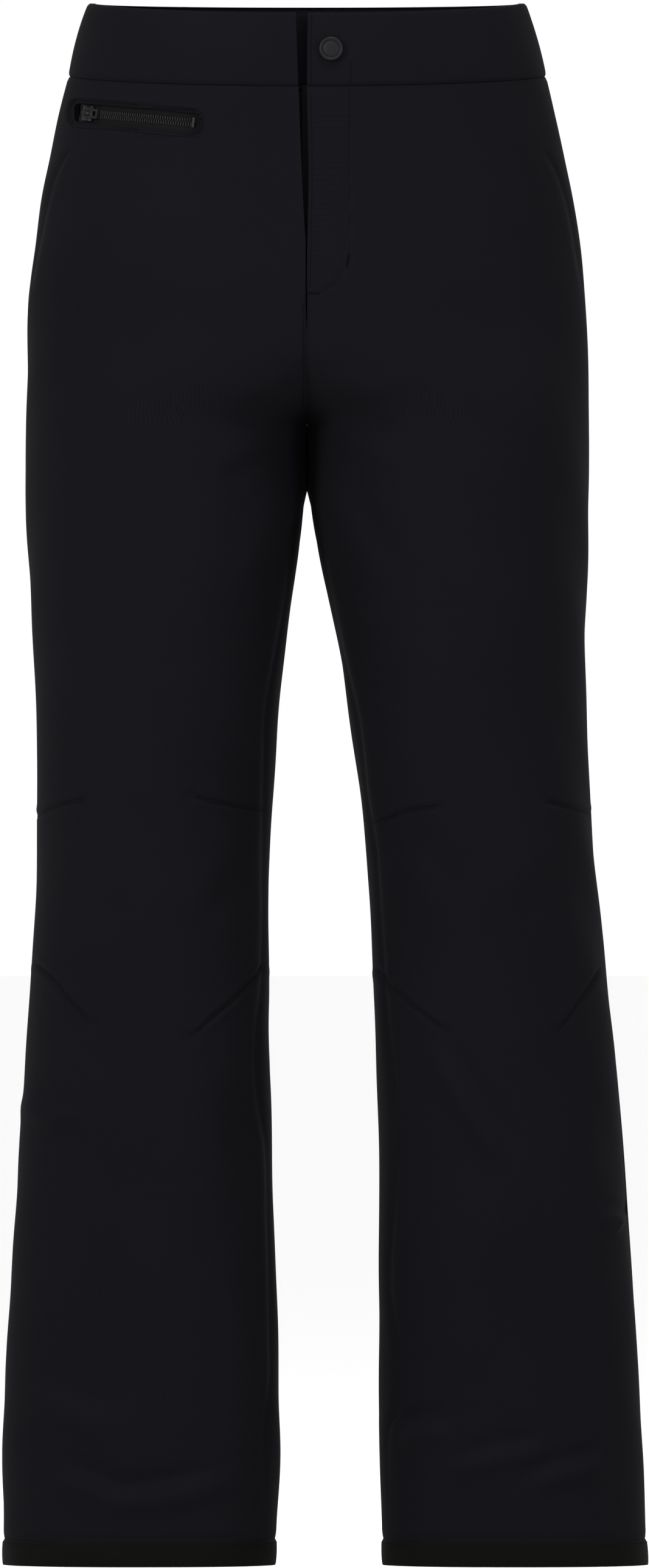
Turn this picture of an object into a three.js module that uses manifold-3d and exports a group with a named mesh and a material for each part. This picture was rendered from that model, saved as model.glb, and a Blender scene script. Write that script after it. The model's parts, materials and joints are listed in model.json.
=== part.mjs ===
// Ski pants: a waist-to-hem shell of sewn panels with a waistband, a fly, a zipped front pocket,
// two slanted hand pockets, bound hems and inner boot gaiters.
//
// Millimetres, +Z up. The origin is the centre of the waist opening, level with its back edge.
// The wearer faces -Y, so the wearer's right leg is on the -X side.

import * as THREE from 'three';
import { mergeVertices } from 'three/addons/utils/BufferGeometryUtils.js';
import Module from 'manifold-3d';

const wasm = await Module();
wasm.setup();

// ---------------------------------------------------------------- driving dimensions

const RISE = 284; // waist edge down to the crotch point
const THIGH_LENGTH = 300; // crotch point down to the middle of the knee
const SHIN_LENGTH = 466; // middle of the knee down to the hem edge

const WAIST_WIDTH = 294; // across the waist edge, side to side
const SEAM_WIDTH = 323; // across the waistband's lower seam
const BELLY_WIDTH = 355; // across the upper hip
const HIP_WIDTH = 374; // across the seat
const THIGH_WIDTH = 188; // one leg, at the crotch
const THIGH_SPACE = 1.5; // from the middle plane to the inseam, at the crotch

const WAISTBAND_HEIGHT = 49.5;
const WAIST_DIP = 9; // how far the front of the waist edge drops below the back
const HEM_HEIGHT = 18; // bound band at the hem

const SHELL = 2.4; // the laminated shell fabric
const FACING = 1.2; // single inner layers
const GAP = 0.3; // clearance between neighbours that are sewn or seated together

const HIP_BREAK = 203; // waist edge down to where the leg starts to swing
const GROIN_RISE = 35; // how much higher that line runs over the front of each thigh
const THIGH_TOP = 320; // waist edge down to where the leg swings as one
const KNEE_SPAN = 60; // half the height of the cloth that folds at the knee
const HIP_PIVOT_DROP = 245;
const HIP_PIVOT_BACK = 15;
const KNEE_PIVOT_BACK = -5;

const FLY_WIDTH = 45; // fold line of the fly, from the middle, at the waist edge
const FLY_TIP = 6; // the same at the lower end
const FLY_END = 195; // waist edge down to the lower end of the fly
const FLY_OPEN = 7; // how far the two front edges stand apart at the waist
const FLY_CLOSED = 160; // waist edge down to where the two edges meet
const FLY_ZIP_X = 9;
const FLY_ZIP_TOP = 62;
const FLY_ZIP_BOTTOM = 188;
const FLY_SLIDER_SPACE = 1.05; // from the inside of the flap to the fly's slider
const FLY_TRAVEL_MARGIN = 14;
const FLY_PIVOT_OUT = 3; // the fold's axis stands this far in front of the cloth
const FLY_FACING_THICK = 0.8;
const FLY_FACING_BEHIND = 1.6; // from the zip's middle back to the facing
const FLY_FACING_EDGE = 2; // from the slider's side across to the facing's free edge
const FLY_LAYER_TOP = 1; // below the waistband's seam
const FLY_LAYER_BOTTOM = 4; // below the end of the zip
const FACING_REACH = 18; // how far the fly's facing reaches past the fold, inside the front
const TAB_JOIN = 26; // how far the waistband's tab reaches back inside the wearer's right front
const TAB_REACH = 34; // and across, behind the wearer's left front
const TAB_INSET = SHELL + 5.6; // room for the snap between the overlap and the tab
const UNDERLAP_SPACE = 0.95; // from the back of the fly's slider to the underlap
const UNDERLAP_SHORT = 4; // how much less than the tab the underlap reaches across
const LAYER_JOIN = 4; // an inner layer lies flat against the front for this far
const LAYER_RAMP = 16; // and has stepped back to its own depth by this far
const BAND_LINING_GAP = 0.8; // from the waistband to its inner pieces
const BAND_LINING_DROP = 2; // waist edge down to the top of the waistband's inner pieces
const BAND_LINING_SPACE = 6; // from the fly's fold to the left front's facing
const TAB_SPACE = 2; // from the tab to the right front's facing
const ELASTIC_REACH = 50; // degrees round the back that each side elastic covers

const SNAP_X = 16;
const SNAP_DROP = 33;
const SNAP_RADIUS = 8;
const SNAP_HEIGHT = 2.1;
const SNAP_SEAT = 0.5; // between a snap piece and the cloth that it is pressed against
const SOCKET_RADIUS = 5.6;
const SOCKET_MOUTH = 3.1;
const SOCKET_ROOF = 0.8; // thickness over the stud
const SOCKET_STANDOFF = 1.6; // from the tab to the socket's rim
const STUD_RADIUS = 5.2;
const STUD_HEAD = 2.6;
const STUD_NECK = 1.7;
const POST_RADIUS = 5;

const POCKET_OUT = 153; // outer end of the pocket zip, from the middle plane
const POCKET_IN = 76; // inner end of the pocket zip
const POCKET_OUT_DROP = 75; // waist edge down to the zip's outer end
const POCKET_IN_DROP = 82.5;
const POCKET_HALF_HEIGHT = 7.8; // half the height of the window
const POCKET_END = 5; // window past each end of the zip
const POCKET_TAPE_SPACE = 1.5; // from the inside of the shell to the zip's tape
const WELT_WIDTH = 2.6;
const WELT_PROUD = 0.7;
const WELT_LIFT = 0.9;

const ZIP_MARGIN = 4; // tape past each end of the zip
const COIL_MARGIN = 1; // coil past each end of the zip
const STOP_LENGTH = 1.8;
const STOP_THICK = 0.9;
const STOP_WIDER = 0.6; // than the coil, on each side
const TAPE_WIDTH = 12; // one side of a zip tape, from its middle slot
const TAPE_THICK = 0.6;
const RING_BAR = 1; // the bar of the pull that sits in the slider's bridge
const COIL_WIDTH = 5.6;
const COIL_THICK = 2;
const SLOT_WIDTH = 1.4; // the line where the two halves of a zip meet
const SLIDER_LENGTH = 10.4;
const SLIDER_WIDTH = 10;
const SLIDER_PLATE = 0.9;
const SLIDER_CLEARANCE = 0.35;
const BLADE = 0.8;
const BLADE_BACK = 5; // the blade stops this far before the slider's wide end
const BRIDGE_START = 1.6; // along from the slider's nose
const BRIDGE_LENGTH = 4.8;
const BRIDGE_WIDTH = 2;
const BRIDGE_WALL = 0.9;
const POCKET_BRIDGE = 2.4; // height of the bridge over the front plate
const FLY_BRIDGE = 1.3;
const SINK = 0.1; // how far joined pieces run into each other
const PULL_LENGTH = 13;
const PULL_WIDTH = 6.6;
const PULL_THICK = 0.9;
const PULL_LIFT = 0.4; // over the slider's front plate
const PULL_START = 2.9; // along from the slider's nose
const PULL_RING = 4.6; // along the pull to the end of its ring's hole
const PULL_RING_WALL = 1.5;
const PULL_GRIP = 3; // length of the hole in the pull's far end
const PULL_GRIP_WALL = 1.7;
const FLAT_PULL_START = 6; // along the fly's slider
const SLIDER_START = 0.6; // along from the end of the zip

const MOUTH_TOP = 110; // waist edge down to the top of a hand pocket's mouth
const MOUTH_BOTTOM = 190;
const MOUTH_WIDTH = 2;
const MOUTH_LEAN = [21, 10]; // degrees round from the side seam, top and bottom
const BAG_THICK = 3;
const BAG_BEHIND = 0.8; // from the shell to a hand pocket's bag
const HAND_BAG = { from: 7, to: 62, top: 104, bottom: 176 }; // degrees round, and drops
const ZIP_BAG = { from: 20, to: 72, top: 64, bottom: 160, behind: 5.4, thick: 2 };

const TACK_LENGTH = 7.5;
const TACK_WIDTH = 2.2;
const TACK_SPACE = 0.8; // below the end of the fly
const TACK_PROUD = [0.3, 1];

const GAITER_RISE = 145; // hem edge up to where the gaiter is sewn in
const GAITER_LOW = 16; // hem edge up to the gaiter's lower edge
const GAITER_INSET = 20; // how far the gaiter's lower edge stands inside the leg
const GRIPPER_HEIGHT = 16;
const GRIPPER_THICKER = 0.6; // than the gaiter's cloth
const HEM_PROUD = 0.6; // the binding stands this far outside the shell, and inside it too
const GAITER_SEAM = 1.5; // from the shell to the top of the gaiter

// ---------------------------------------------------------------- derived heights

const CROTCH_Z = -RISE;
const KNEE_Z = CROTCH_Z - THIGH_LENGTH;
const HEM_Z = KNEE_Z - SHIN_LENGTH;
const HEM_TOP_Z = HEM_Z + HEM_HEIGHT;
const LENGTH = -HEM_Z;
const FLY_SWING = Math.hypot(FLY_TIP, FLY_PIVOT_OUT) - FLY_TIP; // how far the opening flap's tip crosses over
const GAITER_TOP_Z = HEM_Z + GAITER_RISE;
const GAITER_BOTTOM_Z = HEM_Z + GAITER_LOW;
const ROUNDNESS = 2.2; // exponent of the cross-sections: 2 is an ellipse, more is squarer
const POWER = 2 / ROUNDNESS;
const QUARTER_STEPS = 16; // flat faces across a quarter of the oval

// Height of the top of a slider's front plate over the middle of the coil.
const PLATE_TOP = COIL_THICK / 2 + SLIDER_CLEARANCE + SLIDER_PLATE;
const POCKET_ZIP_INSET = SHELL + POCKET_TAPE_SPACE + TAPE_THICK / 2;
const FLY_ZIP_INSET = SHELL + FLY_SLIDER_SPACE + FLY_BRIDGE + PLATE_TOP;
const UNDERLAP_INSET = FLY_ZIP_INSET + PLATE_TOP + UNDERLAP_SPACE;

// Each leg: which side it is on, how far out its middle runs, and how wide it is, from crotch to hem.
const RIGHT = {
  side: -1,
  knee: { out: 104.5, width: 155.7 },
  calf: { out: 108.3, width: 169 },
  ankle: { out: 112, width: 187 },
  hem: { out: 112.6, width: 182 },
};
const LEFT = {
  side: 1,
  knee: { out: 118.1, width: 152.8 },
  calf: { out: 130, width: 164.3 },
  ankle: { out: 137.3, width: 177.4 },
  hem: { out: 140, width: 177 },
};
const LEGS = { right: RIGHT, left: LEFT };

// Half depths of the garment in front of and behind the middle plane.
const DEPTHS = [
  [0, 99, 104],
  [-WAISTBAND_HEIGHT, 103, 112],
  [-125, 107.5, 128],
  [-HIP_BREAK, 111, 134],
  [CROTCH_Z, 104, 113],
  [CROTCH_Z - 66, 100, 101],
  [CROTCH_Z - 196, 92, 84],
  [KNEE_Z, 86, 76],
  [KNEE_Z - 120, 79, 86],
  [KNEE_Z - 266, 74, 90],
  [HEM_Z, 72, 94],
];

// Half widths of the garment above the crotch.
const PELVIS = [
  [0, WAIST_WIDTH / 2],
  [-WAISTBAND_HEIGHT, SEAM_WIDTH / 2],
  [-125, BELLY_WIDTH / 2],
  [-190, HIP_WIDTH / 2],
  [CROTCH_Z, THIGH_WIDTH + THIGH_SPACE],
];

// Middle line and width of one leg below the crotch.
function legLine(leg) {
  const crotchOut = THIGH_WIDTH / 2 + THIGH_SPACE;
  return [
    [CROTCH_Z, crotchOut, THIGH_WIDTH],
    [CROTCH_Z - 66, crotchOut + (leg.knee.out - crotchOut) * 0.05, THIGH_WIDTH - 2],
    [CROTCH_Z - 148, crotchOut + (leg.knee.out - crotchOut) * 0.38, leg.knee.width + 13],
    [CROTCH_Z - 229, crotchOut + (leg.knee.out - crotchOut) * 0.7, leg.knee.width + 4],
    [KNEE_Z, leg.knee.out, leg.knee.width],
    [KNEE_Z - 175, leg.calf.out, leg.calf.width],
    [HEM_Z + 80, leg.ankle.out, leg.ankle.width],
    [HEM_Z, leg.hem.out, leg.hem.width],
  ];
}
RIGHT.line = legLine(RIGHT);
LEFT.line = legLine(LEFT);

// ---------------------------------------------------------------- the shape of the garment

// Reads column `column` of a list of stations at height z, on a smooth curve through all of them.
function through(stations, column, z) {
  const last = stations.length - 1;
  if (z >= stations[0][0]) return stations[0][column];
  if (z <= stations[last][0]) return stations[last][column];
  const i = stations.findIndex((row) => row[0] <= z) - 1;
  const slope = (k) => {
    const before = stations[Math.max(k - 1, 0)];
    const after = stations[Math.min(k + 1, last)];
    return (after[column] - before[column]) / (after[0] - before[0]);
  };
  const [z0, z1] = [stations[i][0], stations[i + 1][0]];
  const span = z1 - z0;
  const t = (z - z0) / span;
  const h = [2 * t ** 3 - 3 * t ** 2 + 1, t ** 3 - 2 * t ** 2 + t, 3 * t ** 2 - 2 * t ** 3, t ** 3 - t ** 2];
  return h[0] * stations[i][column] + h[1] * span * slope(i)
    + h[2] * stations[i + 1][column] + h[3] * span * slope(i + 1);
}

// The horizontal section of one side of the garment: above the crotch the two sides are one oval cut
// by the middle plane, and towards the crotch each one closes into the oval of its leg.
function section(leg, z) {
  const front = through(DEPTHS, 1, z);
  const back = through(DEPTHS, 2, z);
  if (z < CROTCH_Z) {
    const half = through(leg.line, 2, z) / 2;
    return { centre: through(leg.line, 1, z), half, front, back };
  }
  const outer = through(PELVIS, 1, z);
  const closing = Math.max(0, (-HIP_BREAK - z) / (RISE - HIP_BREAK)) ** 1.6;
  const inner = THREE.MathUtils.lerp(-outer, THIGH_SPACE, closing);
  return { centre: (outer + inner) / 2, half: (outer - inner) / 2, front, back };
}

// A point of the garment: `angle` is 0 at the side seam and 180 degrees at the inseam.
function pointOn(leg, face, angle, z, inset) {
  const s = section(leg, z);
  const depth = face === 'front' ? -s.front : s.back;
  const c = Math.cos(angle);
  const n = Math.abs(Math.sin(angle));
  const steepness = 2 - POWER;
  const normal = new THREE.Vector2(Math.sign(c) * Math.abs(c) ** steepness / s.half, n ** steepness / depth);
  normal.normalize();
  const x = s.centre + s.half * Math.sign(c) * Math.abs(c) ** POWER - inset * normal.x;
  const y = depth * n ** POWER - inset * normal.y;
  return new THREE.Vector3(leg.side * x, y, z);
}

// The angle at which the section of a leg is `out` millimetres from the middle plane.
function angleAt(leg, z, out) {
  const s = section(leg, z);
  const margin = GAP / 2 / s.front;
  const c = THREE.MathUtils.clamp((out - s.centre) / s.half, -1, 1);
  const angle = Math.acos(Math.sign(c) * Math.abs(c) ** (1 / POWER));
  return THREE.MathUtils.clamp(angle, margin, Math.PI - margin);
}

// A point of the front at a given x.
function frontAt(x, z, inset) {
  const leg = x < 0 ? RIGHT : LEFT;
  return pointOn(leg, 'front', angleAt(leg, z, Math.abs(x)), z, inset);
}

// Height of the waist edge above the middle plane, which dips at the front.
function waistEdge(face, angle) {
  return face === 'front' ? -WAIST_DIP * Math.abs(Math.sin(angle)) ** 1.3 : 0;
}

function waistSeam(face, angle) {
  return waistEdge(face, angle) - WAISTBAND_HEIGHT;
}

// The line over each thigh where the leg starts to swing; `u` runs from the side seam to the middle.
function groinLine(face, u) {
  const rise = face === 'front' ? GROIN_RISE * Math.sin(Math.PI * Math.cos(u * Math.PI / 2)) : 0;
  return -HIP_BREAK + rise;
}

// ---------------------------------------------------------------- making solids

// Turns a closed geometry into one clean solid whose faces point out.
function closed(geometry) {
  geometry.deleteAttribute('normal');
  geometry.deleteAttribute('uv');
  const solid = mergeVertices(geometry, 1e-4);
  const p = solid.getAttribute('position');
  const index = solid.getIndex().array;
  const [a, b, c] = [new THREE.Vector3(), new THREE.Vector3(), new THREE.Vector3()];
  const kept = [];
  let volume = 0;
  for (let i = 0; i < index.length; i += 3) {
    const [i0, i1, i2] = [index[i], index[i + 1], index[i + 2]];
    if (i0 === i1 || i1 === i2 || i2 === i0) continue;
    kept.push(i0, i1, i2);
    a.fromBufferAttribute(p, i0);
    b.fromBufferAttribute(p, i1);
    c.fromBufferAttribute(p, i2);
    volume += a.dot(b.cross(c));
  }
  if (volume < 0) kept.reverse();
  solid.setIndex(kept);
  solid.clearGroups();
  solid.computeVertexNormals();
  return solid;
}

// Bends a unit box: place(u, d, v) says where each of its points goes.
function bend(across, deep, up, place) {
  const box = new THREE.BoxGeometry(1, 1, 1, across, deep, up);
  box.translate(0.5, 0.5, 0.5);
  const p = box.getAttribute('position');
  for (let i = 0; i < p.count; i += 1) {
    const q = place(p.getX(i), p.getY(i), p.getZ(i));
    p.setXYZ(i, q.x, q.y, q.z);
  }
  return closed(box);
}

// Bends a ring of square section: place(angle, d, v), with d 0 on the outer wall.
function ring(segments, rows, place) {
  const outline = [];
  for (let k = 0; k <= rows; k += 1) outline.push(new THREE.Vector2(2, k / rows));
  for (let k = rows; k >= 0; k -= 1) outline.push(new THREE.Vector2(1, k / rows));
  outline.push(outline[0].clone());
  const lathe = new THREE.LatheGeometry(outline, segments);
  const p = lathe.getAttribute('position');
  for (let i = 0; i < p.count; i += 1) {
    const angle = Math.atan2(p.getZ(i), p.getX(i));
    const radius = Math.hypot(p.getX(i), p.getZ(i));
    const q = place(angle, 2 - radius, p.getY(i));
    p.setXYZ(i, q.x, q.y, q.z);
  }
  return closed(lathe);
}

function toManifold(geometry) {
  const vertProperties = new Float32Array(geometry.getAttribute('position').array);
  const triVerts = new Uint32Array(geometry.getIndex().array);
  return new wasm.Manifold(new wasm.Mesh({ numProp: 3, vertProperties, triVerts }));
}

function fromManifold(manifold) {
  const mesh = manifold.getMesh();
  const geometry = new THREE.BufferGeometry();
  geometry.setAttribute('position', new THREE.BufferAttribute(new Float32Array(mesh.vertProperties), 3));
  geometry.setIndex(new THREE.BufferAttribute(new Uint32Array(mesh.triVerts), 1));
  geometry.computeVertexNormals();
  return geometry;
}

function subtract(geometry, ...cutters) {
  const left = cutters.reduce((rest, cutter) => rest.subtract(toManifold(cutter)), toManifold(geometry));
  return fromManifold(left);
}

function join(geometry, ...others) {
  const whole = others.reduce((sum, other) => sum.add(toManifold(other)), toManifold(geometry));
  return fromManifold(whole);
}

// ---------------------------------------------------------------- finishes

function finish(color, roughness, metalness) {
  return { color, roughness, metalness };
}

const CLOTH = finish('#17171b', 0.9, 0);
const BINDING = finish('#131412', 0.85, 0);
const LINING = finish('#1d1d20', 0.92, 0);
const ELASTIC = finish('#26261f', 0.9, 0);
const TAPE = finish('#121214', 0.85, 0);
const COIL = finish('#1b1b1d', 0.5, 0);
const PAINTED = finish('#26262a', 0.4, 0.6);
const SNAP = finish('#1a1a1c', 0.5, 0.7);
const THREAD = finish('#1f1f24', 0.8, 0);

const pants = new THREE.Group();

function add(name, geometry, look, parent = pants) {
  const mesh = new THREE.Mesh(geometry, new THREE.MeshStandardMaterial(look));
  mesh.name = name;
  parent.add(mesh);
  return mesh;
}

// ---------------------------------------------------------------- shell panels

// A piece of shell between two heights: inner(z) is how far its inner edge is from the middle plane.
function panel(leg, face, top, bottom, rows, inner = () => GAP / 2) {
  return bend(QUARTER_STEPS, 1, rows, (u, d, v) => {
    const guess = THREE.MathUtils.lerp(bottom(u, u * Math.PI / 2), top(u, u * Math.PI / 2), v);
    const first = angleAt(leg, guess, Infinity);
    const last = angleAt(leg, guess, inner(guess));
    const angle = THREE.MathUtils.lerp(first, last, u);
    const z = THREE.MathUtils.lerp(bottom(u, angle), top(u, angle), v);
    return pointOn(leg, face, angle, z, d * SHELL);
  });
}

// The wearer's right edge of the fly opening, from the middle plane.
function flyGap(z) {
  const open = THREE.MathUtils.clamp((FLY_CLOSED + z) / FLY_CLOSED, 0, 1);
  return GAP + FLY_SWING + FLY_OPEN * open ** 0.8;
}

// The line that the fly folds along.
function flyFold(z) {
  return THREE.MathUtils.mapLinear(z, -FLY_END, 0, FLY_TIP, FLY_WIDTH);
}

// Takes the fly's opening out of the wearer's left front.
function flyCutter(clearance) {
  const reach = 30;
  return bend(1, 1, 12, (u, d, v) => {
    const z = THREE.MathUtils.lerp(-FLY_END - clearance, reach, v);
    const x = THREE.MathUtils.lerp(-reach, flyFold(z) + clearance, u);
    return new THREE.Vector3(x, frontAt(FLY_TIP, z, 0).y - reach + d * 2 * reach, z);
  });
}

// The window of the zipped pocket, in the wearer's right front.
function pocketLine(x) {
  return THREE.MathUtils.mapLinear(x, -POCKET_OUT, -POCKET_IN, -POCKET_OUT_DROP, -POCKET_IN_DROP);
}

function pocketBlock(margin, outside, inside) {
  return bend(14, 1, 1, (u, d, v) => {
    const x = THREE.MathUtils.lerp(-POCKET_OUT - POCKET_END - margin, -POCKET_IN + POCKET_END + margin, u);
    const z = pocketLine(x) + THREE.MathUtils.lerp(-1, 1, v) * (POCKET_HALF_HEIGHT + margin);
    return frontAt(x, z, THREE.MathUtils.lerp(-outside, inside, d));
  });
}

// The mouth of a hand pocket runs down and out towards the side seam.
function mouthAngle(z) {
  return THREE.MathUtils.degToRad(THREE.MathUtils.mapLinear(z, -MOUTH_TOP, -MOUTH_BOTTOM, ...MOUTH_LEAN));
}

function mouthCutter(leg) {
  return bend(1, 1, 8, (u, d, v) => {
    const z = THREE.MathUtils.lerp(-MOUTH_BOTTOM, -MOUTH_TOP, v);
    const angle = mouthAngle(z) + (u - 0.5) * MOUTH_WIDTH / section(leg, z).front;
    return pointOn(leg, 'front', angle, z, THREE.MathUtils.lerp(-SHELL, 2 * SHELL, d));
  });
}

function addShell(side) {
  const leg = LEGS[side];
  const edge = side === 'right' ? flyGap : undefined;
  for (const face of ['front', 'back']) {
    const isFront = face === 'front';
    const inner = isFront ? edge : undefined;
    const hipTop = (u, angle) => waistSeam(face, angle) - GAP;
    const hipBottom = (u) => groinLine(face, u);
    let hip = panel(leg, face, hipTop, hipBottom, 5, inner);
    if (isFront) {
      hip = subtract(hip, mouthCutter(leg));
      hip = subtract(hip, side === 'left' ? flyCutter(GAP) : pocketBlock(0, SHELL, 2 * SHELL));
    }
    const pieces = {
      hip,
      groin: panel(leg, face, (u) => groinLine(face, u) - GAP, () => -THIGH_TOP, 5, inner),
      thigh: panel(leg, face, () => -THIGH_TOP - GAP, () => KNEE_Z + KNEE_SPAN, 5),
      knee: panel(leg, face, () => KNEE_Z + KNEE_SPAN - GAP, () => KNEE_Z - KNEE_SPAN, 4),
      shin: panel(leg, face, () => KNEE_Z - KNEE_SPAN - GAP, () => HEM_TOP_Z + GAP, 7),
    };
    for (const [part, geometry] of Object.entries(pieces)) {
      add(`${face}_panel_${side}_${part}`, geometry, CLOTH);
    }
  }
}

// ---------------------------------------------------------------- waistband

// A strip of one side of the waistband; last(z) is the angle where it ends at each height.
function bandStrip(leg, face, first, last, layer, top = 0, bottom = WAISTBAND_HEIGHT) {
  return bend(QUARTER_STEPS, 1, 2, (u, d, v) => {
    const angle = THREE.MathUtils.lerp(first, last(-THREE.MathUtils.lerp(bottom, top, v)), u);
    const z = waistEdge(face, angle) - THREE.MathUtils.lerp(bottom, top, v);
    return pointOn(leg, face, angle, z, layer.inset + d * layer.thick);
  });
}

// The same round the back, from one side seam to the other.
function backStrip(start, layer, top, bottom) {
  return bend(2 * QUARTER_STEPS, 1, 2, (u, d, v) => {
    const angle = THREE.MathUtils.lerp(start, Math.PI - start, u);
    const leg = angle < Math.PI / 2 ? LEFT : RIGHT;
    const local = Math.min(angle, Math.PI - angle);
    const z = -THREE.MathUtils.lerp(bottom, top, v);
    return pointOn(leg, 'back', local, z, layer.inset + d * layer.thick);
  });
}

// The angle, part way down the waistband, where it is x from the middle plane.
function angleOfX(leg, x) {
  return angleAt(leg, -WAISTBAND_HEIGHT / 2, x);
}

function addWaistband() {
  const outer = { inset: 0, thick: SHELL };
  const inner = { inset: SHELL + BAND_LINING_GAP, thick: FACING };
  const side = GAP / 2 / DEPTHS[0][1];
  const endAt = (leg, x) => (z) => angleAt(leg, z, x);
  const rightEdge = endAt(RIGHT, flyGap(0));
  add('waistband_front_right', bandStrip(RIGHT, 'front', side, rightEdge, outer), CLOTH);
  const left = bandStrip(LEFT, 'front', side, endAt(LEFT, GAP), outer);
  add('waistband_front_left', subtract(left, flyCutter(GAP)), CLOTH);
  add('waistband_back', backStrip(side, outer, 0, WAISTBAND_HEIGHT), CLOTH);

  const drop = BAND_LINING_DROP;
  const facingEnd = endAt(LEFT, FLY_WIDTH + BAND_LINING_SPACE);
  const tabStart = endAt(RIGHT, TAB_JOIN + TAB_SPACE);
  add('waistband_facing_right', bandStrip(RIGHT, 'front', side, tabStart, inner, drop), LINING);
  add('waistband_facing_left', bandStrip(LEFT, 'front', side, facingEnd, inner, drop), LINING);
  const elasticEnd = THREE.MathUtils.degToRad(ELASTIC_REACH);
  const gapAngle = GAP / DEPTHS[0][2];
  const backFacing = backStrip(elasticEnd + gapAngle, inner, drop, WAISTBAND_HEIGHT);
  add('waistband_facing_back', backFacing, LINING);
  for (const [name, leg] of Object.entries(LEGS)) {
    const elastic = bandStrip(leg, 'back', side, () => elasticEnd, inner, drop);
    add(`side_elastic_${name}`, elastic, ELASTIC);
  }
}

// ---------------------------------------------------------------- fly

// A layer behind the fly that starts against the inside of one front and steps back across it.
function flyLayer(joined, to, inset, thick, top, bottom, rows) {
  const start = SHELL + 3 * GAP;
  return bend(12, 1, rows, (u, d, v) => {
    const z = -WAIST_DIP - THREE.MathUtils.lerp(bottom, top, v);
    const from = joined(z);
    const x = THREE.MathUtils.lerp(from, to, u);
    const deep = THREE.MathUtils.smoothstep(Math.abs(x - from), LAYER_JOIN, LAYER_RAMP);
    return frontAt(x, z, THREE.MathUtils.lerp(start, inset, deep) + d * thick);
  });
}

function addFly() {
  const bandTop = BAND_LINING_DROP;
  const top = WAISTBAND_HEIGHT + FLY_LAYER_TOP;
  const bottom = FLY_ZIP_BOTTOM - WAIST_DIP + FLY_LAYER_BOTTOM;
  const rightJoin = () => -TAB_JOIN;
  const tab = flyLayer(rightJoin, TAB_REACH, TAB_INSET, SHELL, bandTop, WAISTBAND_HEIGHT, 2);
  add('waistband_tab', tab, CLOTH);
  const lapReach = TAB_REACH - UNDERLAP_SHORT;
  add('fly_underlap', flyLayer(rightJoin, lapReach, UNDERLAP_INSET, FACING, top, bottom, 6), LINING);
  const leftJoin = (z) => Math.max(flyFold(z), FLY_ZIP_X + TAPE_WIDTH) + FACING_REACH;
  const edge = FLY_ZIP_X + SLIDER_WIDTH / 2 + FLY_FACING_EDGE;
  const depth = FLY_ZIP_INSET + FLY_FACING_BEHIND;
  add('fly_facing', flyLayer(leftJoin, edge, depth, FLY_FACING_THICK, top, bottom, 6), LINING);

  const flap = new THREE.Group();
  pants.add(flap);
  const flapTop = (x) => waistSeam('front', angleOfX(LEFT, x)) - GAP;
  add('fly_flap', flapPiece(flapTop, () => -FLY_END, 9), CLOTH, flap);
  const bandEdge = (x) => waistEdge('front', angleOfX(LEFT, x));
  add('waistband_overlap', flapPiece(bandEdge, (x) => bandEdge(x) - WAISTBAND_HEIGHT, 2), CLOTH, flap);
}

function flapPiece(top, bottom, rows) {
  return bend(6, 1, rows, (u, d, v) => {
    const middle = FLY_TIP + u * (FLY_WIDTH - FLY_TIP);
    const z = THREE.MathUtils.lerp(bottom(middle), top(middle), v);
    const x = THREE.MathUtils.lerp(0, flyFold(z) - GAP, u);
    return frontAt(x, z, d * SHELL);
  });
}

// ---------------------------------------------------------------- snap

// A group whose +Y axis points straight out of the front at one place.
function onFront(x, z) {
  const seat = new THREE.Group();
  const here = frontAt(x, z, 0);
  const beside = frontAt(x + 3, z, 0).sub(frontAt(x - 3, z, 0));
  const above = frontAt(x, z + 3, 0).sub(frontAt(x, z - 3, 0));
  const out = beside.cross(above).normalize();
  seat.position.copy(here);
  seat.quaternion.setFromUnitVectors(new THREE.Vector3(0, 1, 0), out);
  pants.add(seat);
  return seat;
}

// Turns a closed profile of [radius, height] pairs about the seat's own axis.
function turned(profile, segments = 28) {
  return closed(new THREE.LatheGeometry(profile.map(([r, y]) => new THREE.Vector2(r, y)), segments));
}

function addSnap() {
  const seat = onFront(SNAP_X, -SNAP_DROP);
  const r = SNAP_RADIUS;
  const low = SNAP_SEAT;
  const high = SNAP_SEAT + SNAP_HEIGHT;
  add('snap_cap', turned([
    [0, low], [r - 0.6, low], [r, low + 0.7], [r - 0.3, high - 0.9], [r - 1.4, high - 0.3], [0, high],
  ]), SNAP, seat);

  const socketTop = -SHELL - SNAP_SEAT;
  const roof = socketTop - SOCKET_ROOF;
  const rim = -TAB_INSET + SOCKET_STANDOFF;
  add('snap_socket', turned([
    [0, socketTop], [SOCKET_RADIUS, socketTop], [SOCKET_RADIUS, socketTop - 1],
    [SOCKET_RADIUS - 0.9, rim], [SOCKET_MOUTH, rim], [SOCKET_MOUTH, roof], [0, roof],
  ], 20), PAINTED, seat);

  const base = -TAB_INSET + SNAP_SEAT;
  add('snap_stud', turned([
    [0, base], [STUD_RADIUS, base], [STUD_RADIUS, base + 0.5], [STUD_NECK + 0.3, base + 0.7],
    [STUD_NECK, rim + 0.8], [STUD_HEAD, rim + 1.4], [STUD_HEAD - 0.4, roof - 0.5], [0, roof - 0.4],
  ], 20), PAINTED, seat);

  const behind = -TAB_INSET - SHELL - SNAP_SEAT;
  add('snap_post', turned([
    [0, behind], [POST_RADIUS, behind], [POST_RADIUS, behind - 0.6],
    [POST_RADIUS - 1, behind - 1], [0, behind - 1],
  ], 20), PAINTED, seat);
}

// ---------------------------------------------------------------- zips

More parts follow.
